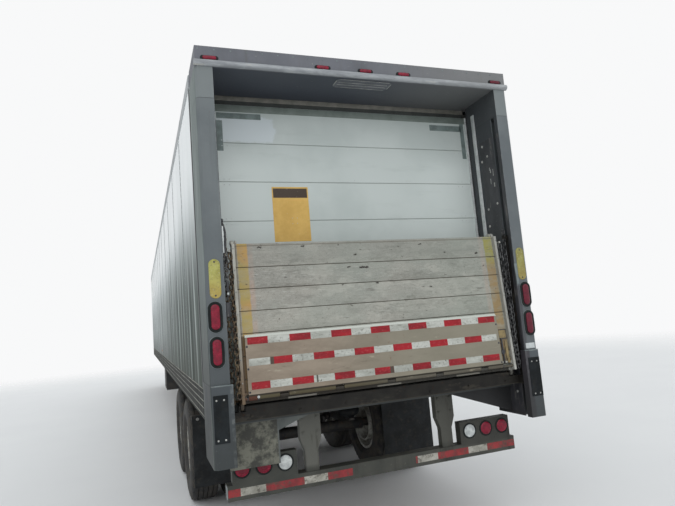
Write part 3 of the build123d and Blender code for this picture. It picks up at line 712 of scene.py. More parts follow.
# dark nicks in the boards: across, up, and half their length
boardNicks = ((-0.574, 2.261, 0.012), (-0.169, 2.185, 0.01), (-0.229, 2.094, 0.012), (-0.111, 2.086, 0.038),
              (-0.891, 2.262, 0.016), (0.387, 2.248, 0.012), (0.893, 2.159, 0.014), (0.6, 2.175, 0.01),
              (0.435, 1.909, 0.012), (-0.015, 1.962, 0.012))


def makePlankFinish(name, seed, striped):
    finish = Finish(name, leaning=True)
    x, z = finish.axes("XZ")
    grain, fine, stain = layBoardTones(finish, seed)
    if striped:
        edgeNoise = (grain - 0.5) * 0.02
        left = finish.band(x + edgeNoise, -1.052, -0.98, 0.005)
        right = finish.band(x + edgeNoise, 0.976, 1.056, 0.005)
        hue = finish.noise(2.6, 4, 0.6, (1, 1, 1.6))
        paintTone = finish.mix(finish.step(hue, 0.42, 0.58), (172, 152, 84), (186, 148, 82))
        worn = finish.spots(0.42, 0.66, 13, 6, 0.72, (0.7, 1, 1.4))
        finish.lay(left * (0.88 - worn * 0.3), paintTone)
        ripe = finish.mix(finish.step(z + hue * 0.1, 2.06, 2.2), (152, 126, 82), (154, 148, 72))
        finish.lay(right * (0.86 - worn * 0.45), ripe)
        pinkish = finish.band(x, -0.98, -0.945, 0.012) + 0.5 * finish.band(x, 0.93, 0.966, 0.012)
        finish.lay(pinkish * finish.step(stain, 0.36, 0.6) * 0.45, (190, 158, 140))
        ends = finish.band(x, 1.058, 1.066, 0.003) + finish.band(x, -1.066, -1.056, 0.003)
        finish.lay(ends * 0.45, (110, 98, 80))
        lowLeft = finish.fade(x, -1.036, -1.03) * finish.fade(z, 1.64, 1.66)
        finish.lay(lowLeft * 0.85, (84, 64, 42))
        lowRight = finish.step(x, 0.968, 0.974) * finish.fade(z + hue * 0.1, 1.5, 1.62)
        finish.lay(lowRight * (0.4 + worn * 0.45), (86, 74, 58))
    speck = finish.spots(0.655, 0.68, 44, 5, 0.7, (0.45, 1, 1))
    finish.lay(speck * 0.75, (66, 60, 54))
    scuff = finish.spots(0.63, 0.68, 11, 6, 0.72, (0.3, 1, 2.0))
    finish.lay(scuff * 0.55, (96, 92, 86))
    ragged = finish.noise(55, 4, 0.7)
    for nickX, nickZ, long in boardNicks:
        tall = 0.004 + long * 0.1
        rough = (ragged - 0.5) * 0.03
        spot = finish.band(x + rough, nickX - long, nickX + long, 0.005)
        spot = spot * finish.band(z + rough, nickZ - tall, nickZ + tall, 0.0025)
        finish.lay(spot * 0.95, (44, 38, 34))
    pitch = boardPlan["pitch"]
    down = (boardPlan["top"] - z + pitch / 2) % pitch
    joint = finish.band(down, pitch / 2 - 0.0037, pitch / 2 + 0.0037, 0.002)
    finish.lay(joint * 0.55, (88, 78, 64))
    finish.press(grain * 0.5 + fine * 0.25 - speck * 0.6, 0.0022)
    return finish.done(0.78 + fine * 0.15)


segmentLength = 0.1535                    # of one red or white piece of the ramp's tape


def makeTapeFinish(name, anchor, redEven, marks):
    # red and white tape along X: segments of one length from the anchor
    finish = Finish(name, coatWeight=0.1, sheen=0.3, leaning=True)
    x = finish.axes("X")[0]
    turn = finish.node("Math", {"operation": "FLOOR"}, {0: (x - anchor) / segmentLength})
    odd = (turn % 2) > 0.5
    red = 1 - odd if redEven else odd
    smear = finish.noise(9, 6, 0.7, (0.4, 1, 1.5))
    scratch = finish.spots(0.6, 0.66, 40, 6, 0.75, (0.35, 1, 1.3))
    redTone = finish.mix(finish.step(smear, 0.35, 0.65), (122, 14, 26), (162, 20, 34))
    whiteTone = finish.mix(finish.step(smear, 0.35, 0.65), (156, 158, 150), (192, 194, 187))
    finish.start(red, whiteTone, redTone)
    fleck = finish.spots(0.56, 0.62, 75, 5, 0.7, (0.6, 1, 1))
    finish.lay(fleck * (1 - red) * 0.6, (112, 110, 102))
    finish.lay(fleck * red * 0.25, (190, 96, 96))
    finish.lay(scratch * (0.6 - red * 0.3), (118, 108, 98))
    herd = finish.spots(0.5, 0.62, 6, 2, 0.5)
    spot = finish.spots(0.6, 0.62, 38, 6, 0.78)
    finish.lay(spot * (0.4 + herd * 0.55), (48, 43, 40))
    for low, high in marks:
        finish.lay(finish.band(x, low, high, 0.003) * 0.92, (70, 68, 58))
    comb = finish.cells(230)
    finish.press(comb * 0.25 + scratch * 0.5, 0.0008)
    return finish.done(0.34 + scratch * 0.4)


def makeRampFinish():
    finish = Finish("rampPlate", metal=0.05, sheen=0.2, leaning=True)
    x, z = finish.axes("XZ")
    cloud = finish.noise(5, 6, 0.68, (0.5, 1, 1.4))
    fine = finish.noise(90, 4, 0.65)
    finish.start(finish.step(cloud, 0.34, 0.66), (134, 118, 104), (158, 142, 127))
    finish.lay(0.3 + finish.step(x, -0.7, 0.3) * 0.6, finish.mix(cloud, (122, 118, 104), (148, 144, 129)))
    scrape = finish.spots(0.6, 0.68, 20, 6, 0.75, (0.18, 1, 1.6))
    finish.lay(scrape * 0.5, (108, 98, 86))
    pale = finish.spots(0.62, 0.68, 9, 5, 0.7, (0.5, 1, 2.2))
    finish.lay(pale * 0.5, (176, 168, 150))
    # A painted highlight along the ramp's bevelled top edge.
    topEdgeHighlight = finish.step(z, 1.6375, 1.6395)
    finish.lay(topEdgeHighlight * 0.85, (206, 211, 204))
    foot = finish.fade(z + cloud * 0.004, 1.262, 1.265)
    finish.lay(foot * 0.92, (34, 30, 24))
    strip = finish.band(z + cloud * 0.005, 1.232, 1.2525, 0.002)
    stripTone = finish.mix(finish.step(x, -0.5, 0.3), (98, 90, 62), (114, 110, 100))
    finish.lay(strip * 0.9, finish.mix(cloud, (76, 70, 58), stripTone))
    endTube = finish.fade(x, -0.98, -0.97) * finish.fade(z, 1.249, 1.252)
    finish.lay(endTube * 0.9, (86, 52, 42))
    shine = finish.spots(0.56, 0.64, 18, 6, 0.75, (0.3, 1, 1))
    finish.lay(strip * shine * 0.6, (156, 148, 130))
    rust = finish.spots(0.64, 0.7, 24, 7, 0.75)
    finish.lay(rust * 0.6, (112, 72, 46))
    finish.press(cloud * 0.3 + fine * 0.2 - scrape * 0.3, 0.002)
    return finish.done(0.5 + cloud * 0.2)


def makeGateFinish():
    finish = Finish("gateFrameSteel", metal=0.35, leaning=True)
    cloud = finish.noise(6, 6, 0.68, (1, 1, 0.4))
    fine = finish.noise(110, 4, 0.6)
    finish.start(finish.step(cloud, 0.36, 0.64), (150, 149, 140), (182, 181, 172))
    rust = finish.spots(0.58, 0.66, 13, 7, 0.75)
    finish.lay(rust * 0.55, (122, 100, 78))
    x, z = finish.axes("XZ")
    stained = finish.fade(x, -1.2, -0.9) * finish.fade(z + cloud * 0.8, 1.5, 2.5)
    stained = stained * finish.step(cloud, 0.38, 0.56)
    finish.lay(stained * 0.75, (132, 106, 74))
    footing = finish.fade(z + cloud * 0.3, 1.42, 1.8) * finish.fade(x, -0.5, 0.5)
    finish.lay(footing * 0.85, (98, 76, 52))
    middle = finish.fade(abs(x), 1.055, 1.06)
    low = finish.fade(z, 1.262, 1.266) * middle
    finish.lay(low * 0.92, (38, 35, 29))
    under = finish.fade(z, 1.2145, 1.2165) * middle
    streaks = finish.band(x, -0.765, -0.56, 0.004) + finish.band(x, -0.094, 0.098, 0.004)
    streaks = streaks + finish.band(x, 0.573, 0.781, 0.004)
    finish.lay(under * streaks * 0.85, (142, 139, 130))
    # A painted highlight on the platform's right rail.
    finish.lay(finish.step(x, 1.06, 1.07) * 0.45, (184, 185, 181))
    lug = finish.step(abs(x), 1.03, 1.035) * finish.fade(z + cloud * 0.02, 1.205, 1.215)
    finish.lay(lug * 0.8, (56, 52, 46))
    finish.press(cloud * 0.3 + fine * 0.2 + rust * 0.4, 0.002)
    return finish.done(0.5 + rust * 0.3)


def makeCarriageFinish():
    finish = Finish("carriageSteel", sheen=0.25)
    y, z = finish.axes("YZ")
    cloud = finish.noise(6, 6, 0.7)
    finish.start(finish.step(cloud, 0.35, 0.65), (23, 21, 19), (36, 34, 30))
    worn = finish.spots(0.56, 0.64, 12, 6, 0.75, (0.3, 1, 1))
    finish.lay(worn * 0.45, (72, 67, 58))
    rust = finish.spots(0.6, 0.67, 21, 7, 0.75)
    finish.lay(rust * 0.5, (74, 50, 34))
    # A painted highlight along the crossbar's bottom edge.
    line = finish.fade(z, 1.094, 1.099) * finish.fade(y, -8.012, -8.008)
    finish.lay(line * 0.3, (96, 92, 80))
    fine = finish.noise(100, 4, 0.6)
    finish.press(cloud * 0.3 + fine * 0.25 + rust * 0.4, 0.0025)
    return finish.done(0.55 + rust * 0.3)


def makeChainFinish(name, light, dark, rustShare):
    finish = Finish(name, metal=0.4)
    cloud = finish.noise(30, 6, 0.7)
    finish.start(finish.step(cloud, 0.4, 0.6), dark, light)
    rust = finish.spots(0.48, 0.6, 55, 6, 0.75)
    finish.lay(rust * rustShare, (96, 66, 42))
    finish.press(finish.noise(260, 4, 0.6) * 0.5 + rust * 0.5, 0.0012)
    return finish.done(0.5 + rust * 0.35)


def makeRubberFinish(name, dark, light, dustShare, sheen):
    finish = Finish(name, sheen=sheen)
    cloud = finish.noise(7, 6, 0.7)
    finish.start(finish.step(cloud, 0.38, 0.64), dark, light)
    dust = finish.spots(0.52, 0.68, 19, 6, 0.72)
    finish.lay(dust * dustShare, (96, 90, 80))
    fine = finish.noise(170, 4, 0.6)
    finish.press(fine * 0.4 + cloud * 0.6, 0.0018)
    return finish.done(0.62 + dust * 0.25)


def makeTyreFinish():
    finish = Finish("tyreRubber")
    cloud = finish.noise(5, 6, 0.7)
    finish.start(finish.step(cloud, 0.38, 0.64), (30, 30, 31), (44, 43, 42))
    dust = finish.spots(0.42, 0.64, 14, 6, 0.72)
    finish.lay(dust * 0.5, (92, 86, 76))
    fine = finish.noise(140, 4, 0.6)
    finish.press(fine * 0.5 + cloud * 0.5, 0.002)
    return finish.done(0.7 + dust * 0.2)


def makeWheelFinish():
    finish = Finish("wheelWhite", coatWeight=0.1)
    cloud = finish.noise(6, 5, 0.65)
    darkening = finish.spots(0.42, 0.62, 16, 6, 0.72)
    finish.start(finish.step(cloud, 0.38, 0.64), (176, 176, 170), (198, 198, 192))
    finish.lay(darkening * 0.6, (96, 84, 68))
    rust = finish.spots(0.6, 0.66, 34, 7, 0.75)
    finish.lay(rust * 0.7, (112, 66, 38))
    finish.press(cloud * 0.4 + rust * 0.5, 0.002)
    return finish.done(0.45 + darkening * 0.35)


def makeLensFinish(name, dark, light, ribs):
    finish = Finish(name, coatWeight=0.15, sheen=0.3)
    x, z = finish.axes("XZ")
    cloud = finish.noise(24, 4, 0.6)
    rib = finish.node("Math", {"operation": "SINE"}, {0: (x if ribs == "x" else z) * 900})
    cross = finish.node("Math", {"operation": "SINE"}, {0: (z if ribs == "x" else x) * 520})
    finish.start(finish.step(cloud, 0.35, 0.65), dark, light)
    finish.lay(finish.step(rib * cross, 0.2, 0.9) * 0.14, [min(255, part + 45) for part in light])
    if name == "lensRed":
        right = finish.step(x, 0.9, 1.0) * finish.step(z, 1.2, 1.3)
        finish.lay(right * 0.6, (72, 18, 34))
    finish.press(rib * 0.3 + cross * 0.3, 0.0006)
    return finish.done(0.2 + cloud * 0.12)


def guardExtra(finish):
    # the uprights are paler than the bar and the lamp boxes
    x, z = finish.axes("XZ")
    upright = finish.step(z, 0.66, 0.7) * finish.fade(abs(x), 0.655, 0.665)
    shade = finish.mix(finish.step(x, -0.1, 0.1), (98, 98, 92), (80, 80, 74))
    finish.lay(upright * 0.85, shade)
    streak = finish.spots(0.56, 0.66, 16, 6, 0.72, (1, 1, 0.15))
    finish.lay(upright * streak * 0.6, (60, 57, 50))
    # Painted shade on the right lamp box.
    rightBoxShade = finish.step(x, 0.5, 0.7) * finish.step(z, 0.62, 0.64)
    finish.lay(rightBoxShade * 0.4, (40, 38, 36))


def makeGuardFinish():
    return paintedSteel("guardGrey", {
        "light": (76, 76, 70), "dark": (56, 58, 54), "dirt": (42, 40, 36), "chip": (112, 110, 100),
        "streaking": 0.7, "chips": 0.5, "rust": 0.8, "bump": 0.004, "sheen": 0.3}, guardExtra)


def sillExtra(finish):
    x, z = finish.axes("XZ")
    blotch = finish.spots(0.42, 0.62, 11, 7, 0.75)
    lowPatch = finish.fade(x, -0.83, -0.82) * finish.fade(z, 1.055, 1.06)
    finish.lay(lowPatch, finish.mix(blotch, (54, 54, 48), (112, 112, 100)))
    # Painted shade: the right gusset laid near black.
    right = finish.step(x, 0.56, 0.57) * finish.fade(z, 1.058, 1.064)
    finish.lay(right * 0.97, (22, 22, 24))
    # Painted shade on the sill above about 1.06 m.
    shade = finish.step(z, 1.058, 1.064) * 0.75
    finish.lay(shade, (44, 45, 46))


sillFinish = paintedSteel("sillPaint", {
    "light": (104, 108, 104), "dark": (84, 90, 90), "dirt": (60, 58, 52), "chip": (146, 146, 138),
    "streaking": 0.7, "chips": 0.7, "rust": 0.9}, sillExtra)


def makeBareSteelFinish():
    finish = Finish("bareSteel", metal=0.8)
    cloud = finish.noise(12, 5, 0.65)
    drawn = finish.noise(70, 3, 0.6, (1, 1, 0.05))
    finish.start(cloud, (120, 120, 118), (158, 158, 154))
    rust = finish.spots(0.58, 0.66, 26, 6, 0.72)
    finish.lay(rust * 0.6, (112, 76, 48))
    finish.press(drawn * 0.5 + rust * 0.4, 0.0015)
    return finish.done(0.36 + rust * 0.35)


def makeDeckFinish():
    finish = Finish("floorWood")
    x = finish.axes("X")[0]
    wide = 0.032
    board = finish.node("Math", {"operation": "FLOOR"}, {0: x / wide})
    shade = finish.node("TexWhiteNoise", {"noise_dimensions": "1D"}, {"W": board})
    grain = finish.noise(22, 7, 0.7, (1, 0.05, 1))
    finish.start(shade * 0.6 + grain * 0.4, (104, 78, 52), (150, 118, 82))
    dirt = finish.spots(0.45, 0.7, 3, 6, 0.7)
    finish.lay(dirt * 0.5, (72, 62, 50))
    gap = finish.band(x % wide, -0.002, 0.0012, 0.0008)
    finish.lay(gap * 0.7, (48, 38, 28))
    finish.press(grain * 0.5 - gap, 0.0015)
    return finish.done(0.66 + grain * 0.2)


def makeRoofFinish():
    finish = Finish("roofSheet", metal=0.2)
    y = finish.axes("Y")[0]
    cloud = finish.noise(0.8, 5, 0.65)
    finish.start(finish.step(cloud, 0.35, 0.65), (196, 200, 200), (216, 219, 218))
    streaking = finish.spots(0.5, 0.72, 3, 6, 0.7, (0.2, 1, 1))
    finish.lay(streaking * 0.45, (150, 148, 138))
    pitch = 0.61
    bow = finish.band(y % pitch, 0.28, 0.33, 0.012)
    finish.lay(bow * 0.25, (170, 172, 168))
    sag = finish.node("Math", {"operation": "SINE"}, {0: y * (2 * math.pi / pitch)})
    finish.press(sag * 0.5 + bow * 0.2 + cloud * 0.3, 0.012)
    return finish.done(0.4 + streaking * 0.25)


def makeColumnFinish():
    finish = Finish("columnBlack", coatWeight=0.1)
    cloud = finish.noise(7, 6, 0.7, (1, 1, 0.4))
    finish.start(finish.step(cloud, 0.36, 0.64), (38, 39, 43), (58, 58, 62))
    rub = finish.spots(0.58, 0.64, 16, 6, 0.75, (1, 1, 0.18))
    finish.lay(rub * 0.6, (112, 110, 106))
    bare = finish.spots(0.66, 0.7, 34, 7, 0.75)
    finish.lay(bare * 0.7, (158, 150, 140))
    finish.press(cloud * 0.3 + rub * 0.2 - bare * 0.4, 0.002)
    return finish.done(0.45 + rub * 0.2)


def makePlateFinish(name, light, dark, chip, rough=0.45):
    # thin plates and stickers: a clouded colour with worn spots
    finish = Finish(name, coatWeight=0.15)
    cloud = finish.noise(14, 5, 0.65)
    finish.start(finish.step(cloud, 0.34, 0.66), dark, light)
    worn = finish.spots(0.61, 0.67, 48, 6, 0.75)
    finish.lay(worn * 0.6, chip)
    finish.press(cloud * 0.5 - worn * 0.4, 0.001)
    return finish.done(rough + cloud * 0.2)


def makeSignFinish():
    finish = Finish("signOchre", coatWeight=0.1)
    x, z = finish.axes("XZ")
    cloud = finish.noise(8, 5, 0.65)
    finish.start(finish.step(cloud, 0.34, 0.66), (206, 164, 78), (220, 180, 94))
    band = finish.band(z, 2.703, 2.779, 0.0012) * finish.band(x, -0.684, -0.405, 0.0012)
    finish.lay(band, (58, 42, 26))
    worn = finish.spots(0.64, 0.69, 60, 6, 0.75)
    finish.lay(worn * 0.5, (214, 206, 184))
    finish.press(cloud * 0.4 - worn * 0.4, 0.0008)
    return finish.done(0.42 + cloud * 0.15)


def makeBadgeFinish():
    finish = Finish("badgeYellow", coatWeight=0.35)
    x, z = finish.axes("XZ")
    cloud = finish.noise(16, 5, 0.65)
    finish.start(finish.step(cloud, 0.36, 0.64), (150, 144, 62), (176, 174, 92))
    low = finish.fade(z, 1.93, 2.1)
    finish.lay(low * 0.55, (174, 140, 62))
    finish.lay(finish.step(x, 0, 1) * 0.45, (112, 106, 58))
    pits = finish.spots(0.56, 0.62, 95, 4, 0.7)
    finish.lay(pits * 0.5, (112, 106, 68))
    worn = finish.spots(0.56, 0.64, 50, 6, 0.75)
    finish.lay(worn * 0.4, (206, 200, 160))
    finish.press(cloud * 0.5 - worn * 0.4, 0.0015)
    return finish.done(0.34 + cloud * 0.2)


def makeBarTapeFinish():
    finish = Finish("guardBarTape", coatWeight=0.15)
    x = finish.axes("X")[0]
    share = (x % 0.4572) > 0.2794                        # 11 inches of red and 7 of white
    smear = finish.noise(11, 6, 0.7)
    red = finish.mix(finish.step(smear, 0.35, 0.65), (112, 24, 30), (150, 34, 38))
    white = finish.mix(finish.step(smear, 0.35, 0.65), (138, 136, 126), (178, 175, 165))
    finish.start(share, red, white)
    dirt = finish.spots(0.5, 0.62, 24, 6, 0.75)
    finish.lay(dirt * 0.7, (72, 66, 58))
    finish.press(finish.cells(230) * 0.3 + dirt * 0.4, 0.0008)
    return finish.done(0.36 + dirt * 0.35)


doorFinish = makeDoorFinish()
wallFinish = makeWallFinish()
aluminiumFinish = makeAluminiumFinish()
chassisFinish = makeChassisFinish()
flipPlankFinish = makePlankFinish("flipPlankBoards", 3.0, True)
mainPlankFinish = makePlankFinish("mainPlankBoards", 17.0, False)
rampFinish = makeRampFinish()
gateFinish = makeGateFinish()
carriageFinish = makeCarriageFinish()
rustChainFinish = makeChainFinish("chainRusty", (122, 108, 86), (36, 31, 29), 0.45)
darkChainFinish = makeChainFinish("chainBlack", (100, 101, 102), (30, 32, 34), 0.1)
tyreFinish = makeTyreFinish()
wheelFinish = makeWheelFinish()
rubberFinish = makeRubberFinish("blackRubber", (17, 19, 21), (32, 35, 37), 0.25, 0.3)
bumperFinish = makeRubberFinish("bumperRubber", (17, 21, 23), (30, 35, 38), 0.12, 0.2)
grommetFinish = makeRubberFinish("grommetRubber", (14, 20, 20), (26, 33, 33), 0.15, 0.3)
redLensFinish = makeLensFinish("lensRed", (106, 8, 34), (136, 12, 44), "x")
clearLensFinish = makeLensFinish("lensClear", (168, 172, 172), (204, 208, 206), "z")
amberLensFinish = makeLensFinish("lensAmber", (176, 96, 24), (214, 132, 40), "z")
guardFinish = makeGuardFinish()
steelFinish = makeBareSteelFinish()
deckFinish = makeDeckFinish()
roofFinish = makeRoofFinish()
columnFinish = makeColumnFinish()
signFinish = makeSignFinish()
badgeFinish = makeBadgeFinish()
greyTapeFinish = makePlateFinish("greyTape", (122, 136, 134), (98, 110, 108), (150, 158, 152), 0.5)
rimFinish = makePlateFinish("lampRimGrey", (120, 130, 130), (94, 104, 106), (160, 164, 160), 0.4)
whiteBitFinish = makePlateFinish("whitePaintBits", (206, 209, 208), (176, 182, 182), (120, 118, 110), 0.4)
brightFinish = makePlateFinish("brightSteel", (190, 190, 184), (140, 141, 138), (96, 88, 76), 0.35)
ochreFinish = makePlateFinish("ochrePaint", (146, 128, 86), (110, 96, 66), (78, 70, 58), 0.5)
labelFinish = makePlateFinish("blankLabel", (206, 212, 212), (184, 190, 190), (120, 124, 124), 0.4)
railStripFinish = makePlateFinish("doorTopStrip", (128, 126, 118), (106, 105, 98), (80, 76, 68), 0.5)
sealFinish = makePlateFinish("doorTopSealGreen", (118, 128, 122), (106, 116, 110), (134, 142, 136), 0.55)
backingFinish = makePlateFinish("doorTopShade", (72, 75, 72), (62, 65, 63), (86, 88, 84), 0.6)
blankPlateFinish = makePlateFinish("blankPlate", (98, 101, 108), (82, 86, 93), (140, 142, 142), 0.45)
barTapeFinish = makeBarTapeFinish()

nodeFinishes = {
    "side_wall_left": wallFinish, "side_wall_right": wallFinish, "front_wall": wallFinish,
    "roof_panel": roofFinish, "top_rails": aluminiumFinish, "bottom_rails": aluminiumFinish,
    "floor_deck": deckFinish, "crossmembers": chassisFinish, "coupler_plate": chassisFinish,
    "kingpin": steelFinish, "landing_legs": chassisFinish, "landing_braces": chassisFinish,
    "landing_crank": chassisFinish, "slide_rails": chassisFinish, "air_tank": chassisFinish,
    "bogie_frame": chassisFinish, "suspension_arms": chassisFinish, "air_springs": rubberFinish,
    "axles": chassisFinish, "rear_post_left": postFinish, "rear_post_right": postFinish,
    "rear_header": headerFinish, "rear_sill": sillFinish, "roll_up_door": doorFinish,
    "door_tracks": steelFinish, "underride_guard": guardFinish, "light_boxes": guardFinish,
    "dock_bumpers": bumperFinish, "lamp_grommets": grommetFinish, "lamp_lenses": redLensFinish,
    "pump_box": chassisFinish, "connection_box": aluminiumFinish, "mud_flap_hangers": chassisFinish,
    "mud_flaps": rubberFinish, "lift_runners": carriageFinish, "lift_crossbar": carriageFinish,
    "hanging_chains": rustChainFinish, "returning_chains": rustChainFinish,
    "main_platform_frame": gateFinish, "main_platform_planks": mainPlankFinish,
    "flip_platform_frame": gateFinish, "flip_platform_planks": flipPlankFinish,
    "retention_ramp": rampFinish,
}
for end in ("rear", "front"):
    for side in ("left", "right"):
        nodeFinishes[end + "_" + side + "_tyres"] = tyreFinish
        nodeFinishes[end + "_" + side + "_wheels"] = wheelFinish
for nodeName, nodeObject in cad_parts.items():
    for index in range(len(nodeObject.material_slots)):
        nodeObject.material_slots[index].material = nodeFinishes[nodeName]
print("finishes are mixed")


# Platforms: boards, ramp tape and the small ironwork on them

plankPlan = {"half": 1.0695, "gap": 0.0028, "edge": 0.0022, "count": 7,
             "flip": (-8.0578, -8.0302, 1.2772, 2.294), "main": (-8.0218, -7.9942, 1.226, 2.254)}


def layBoards(front, back, low, high):
    # boards one above another between low and high, split at the joints
    joints = [boardPlan["top"] - n * boardPlan["pitch"] for n in range(1, plankPlan["count"])]
    cuts = [high] + joints + [low]
    boards = []
    for above, under in zip(cuts, cuts[1:]):
        sunk = random.uniform(0, 0.0008)
        board = addBox((-plankPlan["half"], front + sunk, under + plankPlan["gap"] / 2),
                       (plankPlan["half"], back, above - plankPlan["gap"] / 2), plankPlan["edge"])
        boards.append(board)
    return leanOver(weld(boards))


handOver(layBoards(*plankPlan["flip"]), "flipBoards", flipPlankFinish, body="flip_platform",
         replaced=["flip_platform_planks"])
handOver(layBoards(*plankPlan["main"]), "mainBoards", mainPlankFinish, body="main_platform",
         replaced=["main_platform_planks"])

# name, low, high, left, right, a joint between segments, whether even segments are red, grimy marks
tapePlan = {"front": -8.0776, "back": -8.0768, "rows": (
    ("tapeRowTop", 1.590, 1.638, -1.028, 0.953, -0.888, False, ()),
    ("tapeRowMiddle", 1.447, 1.495, -1.027, 0.950, -0.572, True, ((-0.882, -0.856),)),
    ("tapeRowLow", 1.292, 1.340, -1.020, 0.949, -0.893, False, ((-0.002, 0.028), (-0.566, -0.554))))}
for name, low, high, left, right, anchor, redEven, marks in tapePlan["rows"]:
    strip = addBox((left, tapePlan["front"], low), (right, tapePlan["back"], high), 0.0003, 1)
    handOver(leanOver(strip), name, makeTapeFinish(name + "Finish", anchor, redEven, marks),
             body="ramp")

screwSpots = spread([-1.034], -8.077, (1.577, 1.428, 1.276), toRear)
screwSpots += spread([0.962], -8.077, (1.571, 1.424, 1.273), toRear)
handOver(leanOver(scatter(makeRivet(0.0075, 0.003, 12), screwSpots)), "rampScrews", columnFinish,
         body="ramp")

catchPlan = {"plate": ((0.978, -8.0605, 1.452), (1.058, -8.0572, 1.528)),
             "rod": ((1.0, -8.064, 1.455), (1.0, -8.064, 1.262)), "ring": (0.99, -8.0625, 1.405),
             "guide": ((0.984, -8.0675, 1.335), (1.016, -8.0572, 1.362)),
             "panel": ((0.985, -8.0616, 1.459), (1.051, -8.0602, 1.521)),
             "block": ((1.028, -8.0655, 1.3), (1.05, -8.0572, 1.436)),
             "tip": ((1.032, -8.0672, 1.262), (1.054, -8.0572, 1.304))}


def makeCatchFrame():
    # the dark frame of the ramp's catch with its rod, ring and guide
    ring = turnOn([(-0.0024, 0.0135), (-0.0024, 0.0185), (0.0024, 0.0185), (0.0024, 0.0135)],
                  catchPlan["ring"], (0, 1, 0), 20, True)
    return weld([addBox(*catchPlan["plate"], 0.0008, 1), addRod(*catchPlan["rod"], 0.0062, 12), ring,
                 addBox(*catchPlan["guide"], 0.002)])


def makeCatchPaint():
    # the parts of the catch that are still ochre
    return weld([addBox(*catchPlan["panel"], 0.0004, 1), addBox(*catchPlan["block"], 0.003),
                 addBox(*catchPlan["tip"], 0.004)])


handOver(leanOver(makeCatchFrame()), "rampLatch", columnFinish, body="flip_platform")
handOver(leanOver(makeCatchPaint()), "rampLatchPaint", ochreFinish, body="flip_platform")

hingePlan = {"y": -8.0605, "z": 1.236, "ends": ((-1.0465, -1), (0.9755, 1)), "collar": -0.985}


def makeHingeEnds():
    # caps at the ends of the ramp's hinge rod and a collar on it
    y, z = hingePlan["y"], hingePlan["z"]
    cap = [(0, 0.0095), (0.0005, 0.0135), (0.0055, 0.0135), (0.006, 0.0095)]
    parts = [turnOn(cap, (x, y, z), (way, 0, 0), 18) for x, way in hingePlan["ends"]]
    parts.append(turnOn([(0, 0.0142), (0.0006, 0.0172), (0.0105, 0.0172), (0.0112, 0.0142)],
                        (hingePlan["collar"], y, z), (1, 0, 0), 20))
    return weld(parts)


hingeBolt = scatter(makeBolt(0.0062, 0.007), [((-0.979, -8.077, 1.242), toRear)])
handOver(leanOver(makeHingeEnds()), "rampHingeCollars", columnFinish, body="ramp")
handOver(leanOver(hingeBolt), "rampHingeBolt", whiteBitFinish, body="ramp")

railHeights = [1.34 + n * boardPlan["pitch"] for n in range(7)]
railRivets = scatter(makeRivet(0.0055, 0.0018, 10), spread(bothWays(1.08), -8.0798, railHeights, toRear))
handOver(leanOver(railRivets), "railRivets", steelFinish, body="flip_platform")
print("platform boards and tape are laid")


# Chains

# where each chain hangs, the size of its links, and how far they turn and shift
hangingPlan = {"x": 1.143, "y": -8.042, "low": 1.2, "high": 2.345, "link": (0.034, 0.052, 0.009),
               "pitch": 0.034, "sway": 0.12, "drift": 0.0012}
returningPlan = {"x": 1.108, "y": -8.0905, "low": 1.2, "high": 2.228, "link": (0.040, 0.057, 0.0105),
                 "pitch": 0.036, "sway": 0.35, "drift": 0.003}
holdingPlan = {"x": 1.1475, "y": -8.09, "low": 2.02, "high": 2.226, "link": (0.034, 0.046, 0.010),
               "pitch": 0.0265, "sway": 0.2, "drift": 0.0012}


def hangChain(plan, side):
    # links one under another, each a quarter turn from the last
    sway, drift = plan["sway"], plan["drift"]
    half = plan["link"][1] / 2
    spots = []
    z = plan["high"] - half
    turned = False
    while z - half > plan["low"]:
        quarter = math.pi / 2 if turned else 0
        spots.append(((side * plan["x"] + random.uniform(-drift, drift), plan["y"], z),
                      (0, random.uniform(-0.05, 0.05), quarter + random.uniform(-sway, sway))))
        turned = not turned
        z -= plan["pitch"]
    return scatter(makeLink(*plan["link"]), spots)


for side, label, finish in ((-1, "left", rustChainFinish), (1, "right", darkChainFinish)):
    handOver(hangChain(hangingPlan, side), label + "HangingLinks", finish, body="lift_carriage",
             replaced=["hanging_chains"] if side < 0 else (), smooth=60)
    handOver(leanOver(hangChain(returningPlan, side)), label + "ReturningLinks", finish,
             body="main_platform", replaced=["returning_chains"] if side < 0 else (), smooth=60)
print("chains are hung")


# Rear posts: lamps, badges, bumpers, column plates, door seals, latch, label and bracket

lampPlan = {"x": 1.238, "zs": (1.565, 1.794),
            "rim": (0.211, 0.103), "ring": (0.203, 0.096), "lens": (0.165, 0.057),
            "ringRises": ((0.002, 0.0016), (0.007, 0), (0.003, -0.0028)),
            "lensRises": ((0.0015, 0.002), (0.003, 0.0018), (0.006, 0.0016), (0.008, 0.0008))}


def tailSpots(depth):
    return spread(bothWays(lampPlan["x"]), rearY - depth, lampPlan["zs"])


rims = scatter(soften(makeOval(*lampPlan["rim"], 0.0028), 0.0009, 1), tailSpots(0.0012))
handOver(rims, "tailLampRims", rimFinish)
tailRing = raiseRings(makeOval(*lampPlan["ring"], 0.006), lampPlan["ringRises"])
tailLens = raiseRings(makeOval(*lampPlan["lens"], 0.006), lampPlan["lensRises"])
grommetRings = scatter(tailRing, tailSpots(0.0045))
tailLenses = scatter(tailLens, tailSpots(0.0085))


def makeRoundGrommet():
    return turnOn([(0, 0.046), (0, 0.0605), (-0.004, 0.0605), (-0.0072, 0.057), (-0.006, 0.0515),
                   (-0.002, 0.0492), (-0.002, 0.046)], (0, 0, 0), (0, 1, 0), 32, True)


def makeRoundLens():
    return turnOn([(0, 0.049), (-0.0045, 0.049), (-0.0075, 0.0455), (-0.0085, 0.038), (-0.0075, 0.037),
                   (-0.0092, 0.026), (-0.0082, 0.025), (-0.0096, 0.012)], (0, 0, 0), (0, 1, 0), 32)


